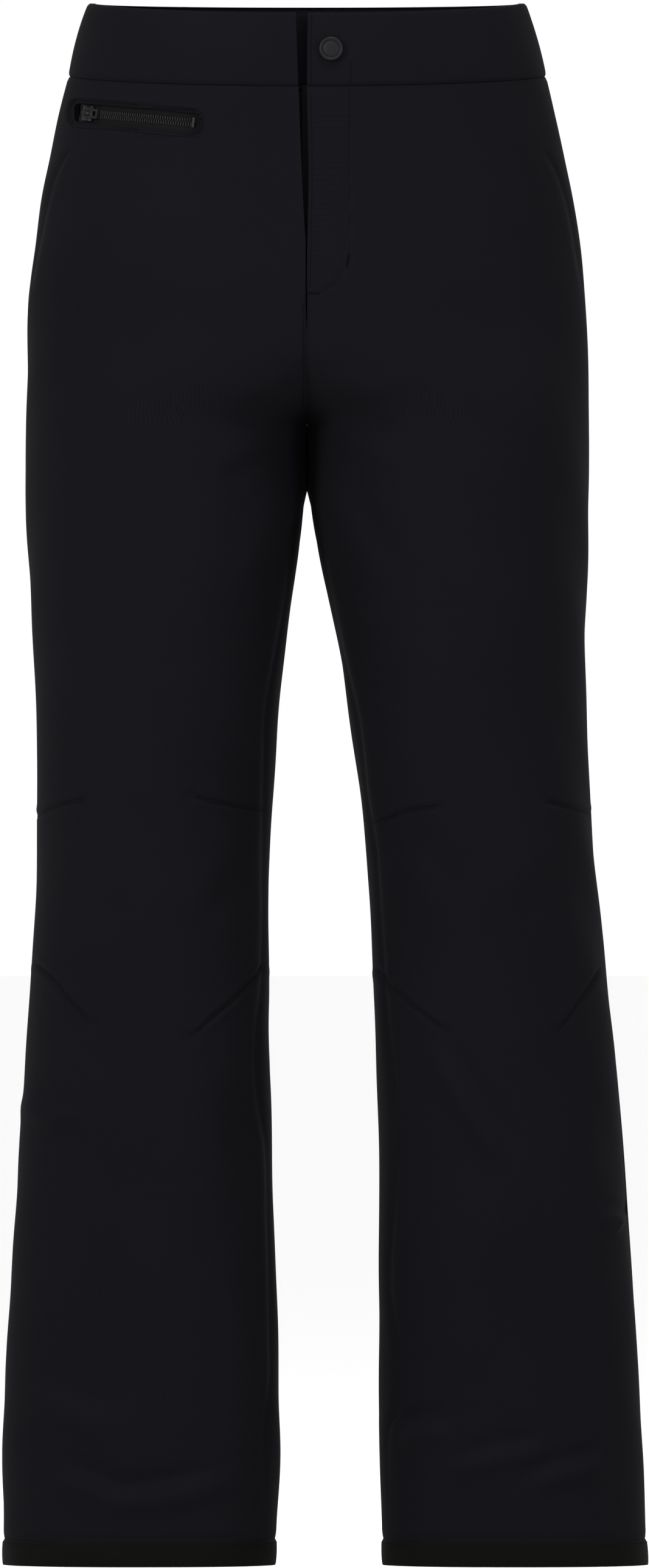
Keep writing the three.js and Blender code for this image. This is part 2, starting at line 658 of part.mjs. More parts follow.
// A zip's path gives at(along, across, out): a place measured from its middle line.
function straightPath(start, end, out) {
  const length = start.distanceTo(end);
  const along = end.clone().sub(start).normalize();
  const normal = out.clone().addScaledVector(along, -out.dot(along)).normalize();
  const across = normal.clone().cross(along);
  const at = (s, w, h) => start.clone()
    .addScaledVector(along, s).addScaledVector(across, w).addScaledVector(normal, h);
  return { length, at, along };
}

// The circle through three points of the garment; `slope` leans the zip's face in towards its top.
function curvedPath(a, b, c, slope) {
  const ab = b.clone().sub(a);
  const ac = c.clone().sub(a);
  const axis = ac.clone().cross(ab).normalize();
  if (axis.z < 0) axis.negate();
  const n = ab.clone().cross(ac);
  const toCentre = n.clone().cross(ab).multiplyScalar(ac.lengthSq())
    .add(ac.clone().cross(n).multiplyScalar(ab.lengthSq()))
    .divideScalar(2 * n.lengthSq());
  const centre = a.clone().add(toCentre);
  const radius = toCentre.length();
  const radial = a.clone().sub(centre).normalize();
  const forward = axis.clone().cross(radial);
  const swept = c.clone().sub(centre).normalize();
  const angle = Math.atan2(swept.dot(forward), swept.dot(radial));
  const turn = (s) => s / radius * Math.sign(angle);
  const at = (s, w, h) => {
    const r = radius + h * Math.cos(slope) - w * Math.sin(slope);
    const lift = w * Math.cos(slope) + h * Math.sin(slope);
    return centre.clone()
      .addScaledVector(radial, r * Math.cos(turn(s)))
      .addScaledVector(forward, r * Math.sin(turn(s)))
      .addScaledVector(axis, lift);
  };
  return { length: Math.abs(angle) * radius, at, centre, axis, radius, turn: Math.sign(angle) };
}

// A bar of rectangular section along a path.
function bar(path, from, to, steps, low, high, inner, outer) {
  return bend(steps, 1, 1, (u, d, v) => path.at(
    THREE.MathUtils.lerp(from, to, u),
    THREE.MathUtils.lerp(low, high, v),
    THREE.MathUtils.lerp(inner, outer, d),
  ));
}

function coil(path, steps) {
  const deep = COIL_THICK / 2;
  const half = COIL_WIDTH / 2;
  const whole = bar(path, -COIL_MARGIN, path.length + COIL_MARGIN, steps, -half, half, -deep, deep);
  const slot = bar(path, 0, path.length, steps, -SLOT_WIDTH / 2, SLOT_WIDTH / 2, -deep - 1, deep + 1);
  return subtract(whole, slot);
}

// The tape is cut back round the coil, which it holds along both edges.
function tape(path, steps) {
  const deep = TAPE_THICK / 2;
  const end = path.length + ZIP_MARGIN;
  const whole = bar(path, -ZIP_MARGIN, end, steps, -TAPE_WIDTH, TAPE_WIDTH, -deep, deep);
  const half = COIL_WIDTH / 2 + GAP;
  const past = COIL_MARGIN + GAP;
  return subtract(whole, bar(path, -past, path.length + past, steps, -half, half, -2 * deep, 2 * deep));
}

// Two plates joined by a blade that runs in the slot of the coil, with a bridge for the pull on top.
function slider(path, from, bridgeHeight) {
  const half = SLIDER_WIDTH / 2;
  const gap = PLATE_TOP - SLIDER_PLATE;
  const to = from + SLIDER_LENGTH;
  const front = bar(path, from, to, 4, -half, half, gap, PLATE_TOP);
  const back = bar(path, from, to, 4, -half, half, -PLATE_TOP, -gap);
  const bladeDeep = gap + SINK;
  const blade = bar(path, from + 1, to - BLADE_BACK, 2, -BLADE / 2, BLADE / 2, -bladeDeep, bladeDeep);
  const start = from + BRIDGE_START;
  const end = start + BRIDGE_LENGTH;
  const wide = BRIDGE_WIDTH / 2;
  const high = PLATE_TOP + bridgeHeight;
  const bridge = bar(path, start, end, 2, -wide, wide, PLATE_TOP - SINK, high);
  const wall = BRIDGE_WALL;
  const eye = bar(path, start + wall, end - wall, 1, -2 * wide, 2 * wide, PLATE_TOP + SINK, high - wall);
  return subtract(join(front, back, blade, bridge), eye);
}

// The middle of the pull's bar, in the slider's bridge; `side` steps along its axis.
function pullPivot(path, side) {
  const height = PLATE_TOP + PULL_LIFT + PULL_THICK / 2;
  return path.at(SLIDER_START + PULL_START + RING_BAR / 2, side, height);
}

// The pull: a tab with a ring end that sits in the slider's bridge.
function pull(path, from) {
  const low = PLATE_TOP + PULL_LIFT;
  const high = low + PULL_THICK;
  const start = from + PULL_START;
  const end = start + PULL_LENGTH;
  const half = PULL_WIDTH / 2;
  const ring = half - PULL_RING_WALL;
  const grip = half - PULL_GRIP_WALL;
  const gripEnd = end - (half - ring) - SINK;
  const whole = bar(path, start, end, 5, -half, half, low, high);
  const ringHole = bar(path, start + RING_BAR, start + PULL_RING, 2, -ring, ring, low - 1, high + 1);
  const gripHole = bar(path, gripEnd - PULL_GRIP, gripEnd, 2, -grip, grip, low - 1, high + 1);
  return subtract(whole, ringHole, gripHole);
}

// The fly's pull lies flat against its slider, behind the flap.
function flatPull(path, from) {
  const half = PULL_WIDTH / 2;
  const start = from + FLAT_PULL_START;
  return bar(path, start, start + PULL_LENGTH, 1, -half, half, PLATE_TOP - SINK, PLATE_TOP + PULL_THICK);
}

// The last piece of a zip, which stops the slider.
function stop(path) {
  const half = COIL_WIDTH / 2 + STOP_WIDER;
  const low = COIL_THICK / 2 + GAP;
  return bar(path, path.length - STOP_LENGTH, path.length, 1, -half, half, low, low + STOP_THICK);
}

// How far the front of the garment leans in towards the waist, in radians.
function slopeAt(x, z) {
  const step = 10;
  const above = frontAt(x, z + step, 0);
  const below = frontAt(x, z - step, 0);
  const away = (p) => Math.hypot(p.x, p.y);
  return Math.atan2(away(below) - away(above), 2 * step);
}

function addPocketZip() {
  const middle = (POCKET_OUT + POCKET_IN) / 2;
  const on = (x) => frontAt(-x, pocketLine(-x), POCKET_ZIP_INSET);
  const path = curvedPath(on(POCKET_OUT), on(middle), on(POCKET_IN), slopeAt(-middle, pocketLine(-middle)));
  add('pocket_zip_tape', tape(path, 10), TAPE);
  add('pocket_zip_coil', coil(path, 10), COIL);
  add('pocket_slider', slider(path, SLIDER_START, POCKET_BRIDGE), PAINTED);
  add('pocket_pull', pull(path, SLIDER_START), PAINTED);
  add('pocket_end_stop', stop(path), PAINTED);
  const frame = pocketBlock(WELT_WIDTH, WELT_LIFT + WELT_PROUD, -WELT_LIFT);
  add('pocket_welt', subtract(frame, pocketBlock(0, SHELL, SHELL)), CLOTH);
  return path;
}

function addFlyZip() {
  const top = frontAt(FLY_ZIP_X, -FLY_ZIP_TOP, FLY_ZIP_INSET);
  const bottom = frontAt(FLY_ZIP_X, -FLY_ZIP_BOTTOM, FLY_ZIP_INSET);
  const path = straightPath(top, bottom, new THREE.Vector3(0, -1, 0));
  add('fly_zip_tape', tape(path, 1), TAPE);
  add('fly_zip_coil', coil(path, 1), COIL);
  add('fly_slider', join(slider(path, SLIDER_START, FLY_BRIDGE), flatPull(path, SLIDER_START)), PAINTED);
  add('fly_end_stop', stop(path), PAINTED);
  return path;
}

// ---------------------------------------------------------------- pocket bags and bar tack

function bag(leg, shape, inset, thick) {
  return bend(8, 1, 4, (u, d, v) => {
    const z = -THREE.MathUtils.lerp(shape.bottom, shape.top, v);
    const angle = THREE.MathUtils.degToRad(THREE.MathUtils.lerp(shape.from, shape.to, u));
    return pointOn(leg, 'front', angle, z, inset + d * thick);
  });
}

function addBags() {
  for (const [name, leg] of Object.entries(LEGS)) {
    add(`hand_pocket_bag_${name}`, bag(leg, HAND_BAG, SHELL + BAG_BEHIND, BAG_THICK), LINING);
  }
  add('pocket_bag', bag(RIGHT, ZIP_BAG, POCKET_ZIP_INSET + ZIP_BAG.behind, ZIP_BAG.thick), LINING);
}

function addBarTack() {
  const top = -FLY_END - TACK_SPACE;
  const tack = bend(4, 1, 1, (u, d, v) => {
    const x = THREE.MathUtils.lerp(0.5, 0.5 + TACK_LENGTH, u);
    return frontAt(x, top - TACK_WIDTH * (1 - v), -THREE.MathUtils.lerp(...TACK_PROUD, d));
  });
  add('fly_bar_tack', tack, THREAD);
}

// ---------------------------------------------------------------- hems and gaiters

function legRing(leg, segments, rows, top, bottom, insetAt, thick) {
  return ring(segments, rows, (angle, d, v) => {
    const face = angle > 0 ? 'front' : 'back';
    const z = THREE.MathUtils.lerp(bottom, top, v);
    return pointOn(leg, face, Math.abs(angle), z, insetAt(v) + d * thick);
  });
}

function addHem(side) {
  const leg = LEGS[side];
  const hem = legRing(leg, 36, 1, HEM_TOP_Z, HEM_Z, () => -HEM_PROUD, SHELL + 2 * HEM_PROUD);
  add(`hem_binding_${side}`, hem, BINDING);
  const nearShell = SHELL + GAITER_SEAM;
  const gather = (v) => THREE.MathUtils.lerp(GAITER_INSET, nearShell, v ** 1.5);
  const gaiterLow = GAITER_BOTTOM_Z + GRIPPER_HEIGHT;
  add(`gaiter_${side}`, legRing(leg, 24, 2, GAITER_TOP_Z, gaiterLow, gather, FACING), LINING);
  const gripperThick = FACING + GRIPPER_THICKER;
  const gripper = legRing(leg, 24, 1, gaiterLow - GAP, GAITER_BOTTOM_Z, () => GAITER_INSET, gripperThick);
  add(`gaiter_elastic_${side}`, gripper, ELASTIC);
}

// ---------------------------------------------------------------- assembly

addWaistband();
addShell('right');
addShell('left');
addFly();
addSnap();
const pocketPath = addPocketZip();
const flyPath = addFlyZip();
addBags();
addBarTack();
addHem('right');
addHem('left');

// Where each moving piece turns or slides.
pants.userData.motion = {
  fly_fold: {
    top: frontAt(FLY_WIDTH, -WAIST_DIP, -FLY_PIVOT_OUT),
    bottom: frontAt(FLY_TIP, -FLY_END, -FLY_PIVOT_OUT),
  },
  pocket: { centre: pocketPath.centre, axis: pocketPath.axis, turn: pocketPath.turn },
  pocket_travel: (pocketPath.length - SLIDER_LENGTH - 3) / pocketPath.radius,
  pocket_pull: { at: pullPivot(pocketPath, 0), ahead: pullPivot(pocketPath, 1) },
  fly: { along: flyPath.along, travel: flyPath.length - SLIDER_LENGTH - FLY_TRAVEL_MARGIN },
  hip: { y: HIP_PIVOT_BACK, z: -HIP_PIVOT_DROP },
  knee: { y: KNEE_PIVOT_BACK, z: KNEE_Z },
  length: LENGTH,
};

export default pants;
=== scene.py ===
# %% [markdown]
# # A pair of ski pants
#
# Ski pants are a shell of stretch softshell, sewn from four long panels, with a waistband, a lapped
# fly, a zipped front pocket and bound hems. The rigid frame that is loaded first knows where
# everything is and how it moves. This lesson dresses that frame: cloth with folds, seams and darts,
# real stitches, zips and a snap.
#
# Everything is in metres, with +Z up, and the wearer faces -Y.

# %% Load the frame
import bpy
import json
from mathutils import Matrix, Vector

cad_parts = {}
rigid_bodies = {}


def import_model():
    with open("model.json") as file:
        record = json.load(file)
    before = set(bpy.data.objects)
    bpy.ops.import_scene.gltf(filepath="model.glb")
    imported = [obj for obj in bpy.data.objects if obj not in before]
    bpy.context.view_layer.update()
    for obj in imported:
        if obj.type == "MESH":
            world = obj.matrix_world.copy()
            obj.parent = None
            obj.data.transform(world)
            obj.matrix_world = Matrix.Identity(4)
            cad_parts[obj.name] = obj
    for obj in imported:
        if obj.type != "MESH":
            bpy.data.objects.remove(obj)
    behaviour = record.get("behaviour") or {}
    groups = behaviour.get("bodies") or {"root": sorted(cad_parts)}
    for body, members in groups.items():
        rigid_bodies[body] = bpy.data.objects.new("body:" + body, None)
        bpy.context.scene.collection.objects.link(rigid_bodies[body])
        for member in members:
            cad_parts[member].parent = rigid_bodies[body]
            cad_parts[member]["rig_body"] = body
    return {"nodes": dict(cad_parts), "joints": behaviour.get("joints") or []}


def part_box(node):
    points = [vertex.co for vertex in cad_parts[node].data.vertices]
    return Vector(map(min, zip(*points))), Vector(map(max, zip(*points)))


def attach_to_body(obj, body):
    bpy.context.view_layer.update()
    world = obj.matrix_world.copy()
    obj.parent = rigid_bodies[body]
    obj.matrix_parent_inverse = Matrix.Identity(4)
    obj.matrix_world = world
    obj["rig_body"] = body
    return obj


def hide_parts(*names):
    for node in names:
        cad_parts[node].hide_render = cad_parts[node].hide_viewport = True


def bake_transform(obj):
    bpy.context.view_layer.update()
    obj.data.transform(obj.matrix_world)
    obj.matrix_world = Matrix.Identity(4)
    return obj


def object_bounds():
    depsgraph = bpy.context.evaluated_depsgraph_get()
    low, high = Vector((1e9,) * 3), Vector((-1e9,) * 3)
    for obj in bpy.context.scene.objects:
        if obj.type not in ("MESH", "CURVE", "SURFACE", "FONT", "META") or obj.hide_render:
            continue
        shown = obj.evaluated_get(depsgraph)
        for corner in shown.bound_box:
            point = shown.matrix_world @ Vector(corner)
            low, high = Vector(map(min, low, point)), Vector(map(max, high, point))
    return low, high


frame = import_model()
cad_box = [list(corner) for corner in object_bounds()]

import json
import math

import bmesh
import bpy
import numpy as np
from mathutils import Matrix, Vector

MM = 0.001
SIDES = {"right": -1, "left": 1}

# %% [markdown]
# ## Telling the frame about a piece
#
# Each finished piece hides the parts of the frame that it stands for and, where a body is given, goes with
# the body that moves it. One helper does both.

# %% Dress the frame
def dress(piece, slot, stands_for=(), body=None):
    """Hides the frame parts a piece stands for and attaches it to the body it rides on, where one is given;
    slot is not used.
    """
    if stands_for:
        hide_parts(*stands_for)
    if body:
        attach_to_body(piece, body)
    return piece


print("nodes in the frame:", len(frame["nodes"]))

# %% [markdown]
# ## Camera, light and floor
#
# Long lenses flatten a garment the way a catalogue does, so the camera stands far back at half
# height and looks straight at the front. Broad soft lights from both sides leave the black cloth
# readable, and a rim of light comes from the pale surroundings.

# %% Camera, light and floor
low, high = (np.array(corner) for corner in cad_box)
middle = (low + high) / 2
CAMERA_DISTANCE = 19.0
SENSOR = 36.0
FILL = 0.99728  # share of the picture's height that the pants take
SCALED_AT = 0.3  # the picture's scale is set this share of the way from the middle to the front

camera_data = bpy.data.cameras.new("studio_camera")
camera = bpy.data.objects.new("studio_camera", camera_data)
bpy.context.scene.collection.objects.link(camera)
bpy.context.scene.camera = camera
camera.location = (middle[0], -CAMERA_DISTANCE, middle[2])
camera.rotation_euler = (math.pi / 2, 0, 0)
camera_data.sensor_fit = "VERTICAL"
camera_data.sensor_height = SENSOR
nearest = CAMERA_DISTANCE + low[1] * SCALED_AT
camera_data.lens = SENSOR * nearest * FILL / (high[2] - low[2])
camera_data.clip_end = 100


def area_light(name, place, size, power):
    """A soft box that points at the middle of the pants."""
    data = bpy.data.lights.new(name, "AREA")
    data.shape = "RECTANGLE"
    data.size, data.size_y = size
    data.energy = power
    light = bpy.data.objects.new(name, data)
    light.location = place
    direction = Vector(middle) - light.location
    light.rotation_euler = direction.to_track_quat("-Z", "Y").to_euler()
    bpy.context.scene.collection.objects.link(light)


area_light("key_softbox", (-2.0, -2.2, 0.9), (0.9, 1.6), 120)
area_light("fill_softbox", (2.2, -2.0, 0.1), (0.9, 2.0), 44)
area_light("top_softbox", (0.3, -0.9, 2.0), (1.6, 1.0), 60)

world = bpy.data.worlds.new("pale_studio")
world.use_nodes = True
world.node_tree.nodes["Background"].inputs["Color"].default_value = (1, 1, 1, 1)
world.node_tree.nodes["Background"].inputs["Strength"].default_value = 1.0
bpy.context.scene.world = world
bpy.context.scene.view_settings.view_transform = "Standard"

FLOOR_DROP = 0.012
bpy.ops.mesh.primitive_plane_add(size=120, location=(middle[0], 0, low[2] - FLOOR_DROP))
floor = bpy.context.object
floor.name = "studio_floor"
print(f"camera {CAMERA_DISTANCE} m back, lens {camera_data.lens:.0f} mm")

# %% [markdown]
# ## A small kit for materials
#
# Cloth, thread, nylon and lacquered metal all start from the same shader. Two helpers keep the
# recipes short: one turns a written colour into the numbers that light needs, and one adds a node
# with its settings and its links.


# %% Colour and node helpers
def linear(hex_colour):
    """An sRGB hex colour as linear red, green and blue."""
    parts = [int(hex_colour[i : i + 2], 16) / 255 for i in (1, 3, 5)]
    return [p / 12.92 if p <= 0.04045 else ((p + 0.055) / 1.055) ** 2.4 for p in parts] + [1]


def node(tree, kind, settings=None, **inputs):
    """Adds a node; an input is a value, or an output socket to link."""
    made = tree.nodes.new(kind)
    for name, value in (settings or {}).items():
        setattr(made, name, value)
    for name, value in inputs.items():
        key = int(name[1:]) if name[0] == "_" and name[1:].isdigit() else name.replace("_", " ")
        socket = made.inputs[key]
        if isinstance(value, bpy.types.NodeSocket):
            tree.links.new(value, socket)
        else:
            socket.default_value = value
    return made


def times_plus(tree, value, factor, extra):
    """A node that multiplies and then adds; gives its result."""
    fused = {"operation": "MULTIPLY_ADD"}
    return node(tree, "ShaderNodeMath", fused, _0=value, _1=factor, _2=extra).outputs[0]


def mixed(tree, share, dark, light):
    """A node that mixes two colours; gives its result."""
    return node(tree, "ShaderNodeMix", {"data_type": "RGBA"}, _0=share, _6=dark, _7=light).outputs[2]


def new_material(name):
    """An empty material and its tree and main shader."""
    material = bpy.data.materials.new(name)
    material.use_nodes = True
    tree = material.node_tree
    shader = tree.nodes["Principled BSDF"]
    return material, tree, shader


print("middle grey is", round(linear("#808080")[0], 3), "in linear light")

# %% [markdown]
# ## The materials
#
# Softshell is a tightly woven stretch twill with a brushed back: matt, blue-black, with a soft
# sheen where the surface turns away. The diagonal of the weave is about half a millimetre on the
# real cloth. It is drawn a little coarser here, so that it still shows from across a room.


# %% Woven cloth
def woven(name, light, dark, pitch, diagonal, roughness, sheen, bump, uneven=0.35, gloss=0.02):
    """Cloth of crossing threads: pitch is the thread spacing in metres, on the piece's own UV."""
    material, tree, shader = new_material(name)
    uv = node(tree, "ShaderNodeUVMap", {"uv_map": "cloth"}).outputs["UV"]
    turned = node(tree, "ShaderNodeMapping", Vector=uv, Rotation=(0, 0, diagonal))
    wave = {"wave_type": "BANDS", "bands_direction": "X", "wave_profile": "SIN"}
    scale = 2 * math.pi / (20 * pitch)
    warp = node(tree, "ShaderNodeTexWave", wave, Vector=turned.outputs[0], Scale=scale)
    crossing = dict(wave, bands_direction="Y")
    weft = node(tree, "ShaderNodeTexWave", crossing, Vector=turned.outputs[0], Scale=scale * 0.5)
    threads = times_plus(tree, weft.outputs[1], 0.35, warp.outputs[1])
    place = node(tree, "ShaderNodeTexCoord").outputs["Object"]
    patches = node(tree, "ShaderNodeTexNoise", Vector=place, Scale=9, Detail=3, Roughness=0.5)
    fuzz = node(tree, "ShaderNodeTexNoise", Vector=place, Scale=900, Detail=2, Roughness=0.6)
    shade = times_plus(tree, patches.outputs[0], uneven, 0.32 - uneven / 2)
    shade = times_plus(tree, threads, 0.28, shade)
    shade = times_plus(tree, fuzz.outputs[0], 0.3, shade)
    tree.links.new(mixed(tree, shade, linear(dark), linear(light)), shader.inputs["Base Color"])
    tree.links.new(times_plus(tree, fuzz.outputs[0], 0.12, roughness - 0.06), shader.inputs["Roughness"])
    height = times_plus(tree, fuzz.outputs[0], 0.5, threads)
    raised = node(tree, "ShaderNodeBump", Height=height, Strength=bump, Distance=0.12 * MM)
    tree.links.new(raised.outputs[0], shader.inputs["Normal"])
    shader.inputs["Sheen Weight"].default_value = sheen
    shader.inputs["Sheen Roughness"].default_value = 0.45
    shader.inputs["Specular IOR Level"].default_value = gloss
    shader.inputs["IOR"].default_value = 1.45
    return material


SHELL_CLOTH = woven(
    "softshell_woven_twill", "#0b0b0e", "#040406",
    pitch=1.3 * MM, diagonal=0.9, roughness=0.85, sheen=0.004, bump=0.5,
)
HEM_CLOTH = woven(
    "hem_binding_woven_plain", "#080807", "#030303",
    pitch=0.9 * MM, diagonal=0, roughness=0.75, sheen=0.002, bump=0.5, uneven=0.15,
)
LINING = woven(
    "lining_brushed_tricot", "#0f0f12", "#060607",
    pitch=1.0 * MM, diagonal=0.78, roughness=0.9, sheen=0.006, bump=0.5,
)
ELASTIC = woven(
    "elastic_knitted_rib", "#1c1c15", "#0b0b08",
    pitch=0.9 * MM, diagonal=0, roughness=0.85, sheen=0.004, bump=0.6, uneven=0.2,
)
ZIP_TAPE = woven(
    "zip_tape_woven_herringbone", "#0d0d0d", "#060606",
    pitch=0.8 * MM, diagonal=0.8, roughness=0.8, sheen=0.002, bump=0.5, uneven=0.15,
)
print("woven:", ", ".join(material.name for material in bpy.data.materials))

# %% [markdown]
# Thread, nylon and metal are far smoother than cloth. Thread is a twisted polyester, so it has a
# slight gloss. A zip's coil is extruded nylon. The slider and the pull are die-cast and painted,
# and the snap's cap is lacquered brass: both have a thin film of paint with a faint orange peel.


# %% Thread, nylon and lacquered metal
def moulded(name, light, dark, roughness, grain, metallic=0.0, bump=0.15, gloss=0.5):
    """A smooth finish with fine mottling; grain is the size of the mottle in metres."""
    material, tree, shader = new_material(name)
    place = node(tree, "ShaderNodeTexCoord").outputs["Object"]
    mottle = node(tree, "ShaderNodeTexNoise", Vector=place, Scale=1 / grain, Detail=3, Roughness=0.55)
    tree.links.new(mixed(tree, mottle.outputs[0], linear(dark), linear(light)), shader.inputs["Base Color"])
    tree.links.new(times_plus(tree, mottle.outputs[0], 0.2, roughness - 0.1), shader.inputs["Roughness"])
    raised = node(tree, "ShaderNodeBump", Height=mottle.outputs[0], Strength=bump, Distance=0.05 * MM)
    tree.links.new(raised.outputs[0], shader.inputs["Normal"])
    shader.inputs["Metallic"].default_value = metallic
    shader.inputs["Specular IOR Level"].default_value = gloss
    return material


THREAD = moulded("thread_twisted_polyester", "#09090b", "#040405", roughness=0.7, grain=0.6 * MM, gloss=0.02)
COIL = moulded("coil_extruded_nylon", "#151517", "#0b0b0c", roughness=0.45, grain=1.5 * MM, gloss=0.1)
PAINTED = moulded(
    "slider_die_cast_painted", "#0d0d0f", "#060607", roughness=0.4, grain=2 * MM, bump=0.2, gloss=0.09
)
CAP = moulded(
    "snap_cap_brass_lacquered", "#151517", "#060607", roughness=0.5, grain=0.7 * MM, bump=0.8, gloss=0.07
)
BARE_SNAP = moulded("snap_brass_blackened", "#4a4a4c", "#242426", roughness=0.35, grain=2 * MM, metallic=0.9)

floor_material, floor_tree, floor_shader = new_material("floor_painted_card")
paper = node(floor_tree, "ShaderNodeTexNoise", Scale=3, Detail=4)
paper_colour = mixed(floor_tree, paper.outputs[0], (0.93, 0.93, 0.93, 1), (0.97, 0.97, 0.97, 1))
floor_tree.links.new(paper_colour, floor_shader.inputs["Base Color"])
floor_shader.inputs["Roughness"].default_value = 0.9
floor.data.materials.append(floor_material)
print("materials:", len(bpy.data.materials))

# %% [markdown]
# ## The shape of the garment, measured from the frame
#
# At any height the garment is an oval, a little squarer than an ellipse. Cutting the frame's panels
# at many heights gives how far the oval reaches out, in, forward and back, and smoothing those
# readings along the height gives one flowing shape. Above the crotch the two sides share one oval;
# below it each leg has its own.

# %% Measure the frame's panels
ROUNDNESS = 2.2
POWER = 2 / ROUNDNESS
CROTCH = -0.284
HIP_BREAK = -0.203
STEP = 4 * MM
HEM_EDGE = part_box("hem_binding_right")[0].z
HEM_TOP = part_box("hem_binding_right")[1].z
WAIST_DIP = -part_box("waistband_overlap")[1].z
BAND_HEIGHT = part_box("waistband_back")[1].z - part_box("waistband_back")[0].z


def triangles_of(name):
    """The corners of a frame node's triangles, three by three."""
    mesh = frame["nodes"][name].data
    mesh.calc_loop_triangles()
    points = np.array([v.co for v in mesh.vertices])
    return points[np.array([t.vertices for t in mesh.loop_triangles])]


def cut_at(triangles, z):
    """The points where the triangles' edges cross the height z."""
    found = []
    for a, b in ((0, 1), (1, 2), (2, 0)):
        p, q = triangles[:, a], triangles[:, b]
        crossing = (p[:, 2] - z) * (q[:, 2] - z) < 0
        p, q = p[crossing], q[crossing]
        t = (z - p[:, 2]) / (q[:, 2] - p[:, 2])
        found.append(p + (q - p) * t[:, None])
    return np.concatenate(found)


def measure(side):
    """Heights, and how far one side of the garment reaches out, in, forward and back there."""
    sign = SIDES[side]
    parts = ("hip", "groin", "thigh", "knee", "shin")
    names = [f"{face}_panel_{side}_{part}" for face in ("front", "back") for part in parts]
    names += [f"waistband_front_{side}", "waistband_back", f"hem_binding_{side}"]
    triangles = np.concatenate([triangles_of(name) for name in names])
    rows = []
    for z in np.arange(-WAIST_DIP - STEP, HEM_EDGE, -STEP):
        points = cut_at(triangles, z)
        points = points[points[:, 0] * sign > 0]
        out = points[:, 0] * sign
        rows.append((z, out.max(), out.min(), -points[:, 1].min(), points[:, 1].max()))
    rows = np.array(rows)[::-1]
    return rows


def smoothed(heights, values, spread):
    """The readings blurred along the height, with their ends carried straight on."""
    reach = int(3 * spread / STEP)
    weights = np.exp(-0.5 * (np.arange(-reach, reach + 1) * STEP / spread) ** 2)
    before = values[0] - (values[1] - values[0]) * np.arange(reach, 0, -1)
    after = values[-1] + (values[-1] - values[-2]) * np.arange(1, reach + 1)
    padded = np.concatenate([before, values, after])
    blurred = np.convolve(padded, weights / weights.sum(), "valid")
    return np.concatenate([[heights[0] - 0.05], heights, [heights[-1] + 0.03]]), np.concatenate(
        [
            [blurred[0] - (blurred[1] - blurred[0]) / STEP * 0.05],
            blurred,
            [blurred[-1] + (blurred[-1] - blurred[-2]) / STEP * 0.03],
        ]
    )


SHAPE = {}
for side in SIDES:
    rows = measure(side)
    below = rows[rows[:, 0] < CROTCH - STEP]
    spread = 14 * MM
    SHAPE[side] = {
        "out": smoothed(rows[:, 0], rows[:, 1], spread),
        "in": smoothed(below[:, 0], below[:, 2], spread),
        "front": smoothed(rows[:, 0], rows[:, 3], spread),
        "back": smoothed(rows[:, 0], rows[:, 4], spread),
    }
    print(side, "leg measured at", len(rows), "heights")


def section(side, z):
    """Centre, half width, front depth and back depth of the oval at each height."""
    shape = SHAPE[side]
    out, front, back = (np.interp(z, *shape[k]) for k in ("out", "front", "back"))
    leg_in = np.interp(z, *shape["in"]) * np.clip((CROTCH - z) / (12 * MM), 0, 1)
    leg_in = leg_in * np.interp(z, [-0.362, -0.328], [1, 0.62])
    closing = np.clip((HIP_BREAK - z) / (HIP_BREAK - CROTCH), 0, 1)
    closing = closing**2 * (3 - 2 * closing)
    inner = np.where(z < CROTCH, leg_in, -out * (1 - closing))
    return (out + inner) / 2, (out - inner) / 2, front, back


def oval(side, angle, face, z):
    """Points and outward directions at an angle: 0 is the side seam, pi the inseam; face is -1 or 1."""
    centre, half, front, back = section(side, z)
    depth = np.where(face < 0, front, back)
    c, s = np.cos(angle), np.abs(np.sin(angle))
    x = centre + half * np.sign(c) * np.abs(c) ** POWER
    y = face * depth * s**POWER
    nx = np.sign(c) * np.abs(c) ** (2 - POWER) / half
    ny = face * s ** (2 - POWER) / depth
    length = np.hypot(nx, ny)
    sign = SIDES[side]
    return np.stack([sign * x, y, z], -1), np.stack([sign * nx / length, ny / length, 0 * z], -1)


def angle_at(side, z, out):
    """The angle where the oval is `out` metres from the middle plane."""
    centre, half, _, _ = section(side, z)
    c = np.clip((out - centre) / half, -1, 1)
    return np.arccos(np.sign(c) * np.abs(c) ** (1 / POWER))


# %% [markdown]
# ## Folds, darts and seams as a landscape
#
# Hung cloth isn't smooth. Folds cross the legs, four darts shape each knee, and every seam pulls the cloth
# in. Each is a line drawn on the garment, with a width and a height, so the landscape of the cloth is a sum
# of ridges and valleys. A cloth simulation could make folds too, but not these ones in these places, so they
# are given one by one.
#
# Places are millimetres from the middle of the waist: across, then down.

# %% Lines on the cloth
KNEE_DARTS = {
    "right": [
        [(-184, 548), (-170, 541), (-158, 537), (-149, 536)],
        [(-76, 533), (-58, 538), (-26, 543)],
        [(-186, 643), (-170, 656), (-158, 671), (-144, 686)],
        [(-28, 645), (-36, 655), (-49, 669), (-64, 682), (-77, 695)],
    ],
    "left": [
        [(42, 551), (53, 548.5), (67, 543), (80, 541), (89, 540)],
        [(161, 536), (173, 540), (194, 546)],
        [(198, 648), (186, 666), (169, 691)],
        [(46, 646), (53, 657), (66, 670), (80, 681), (93, 691)],
    ],
}
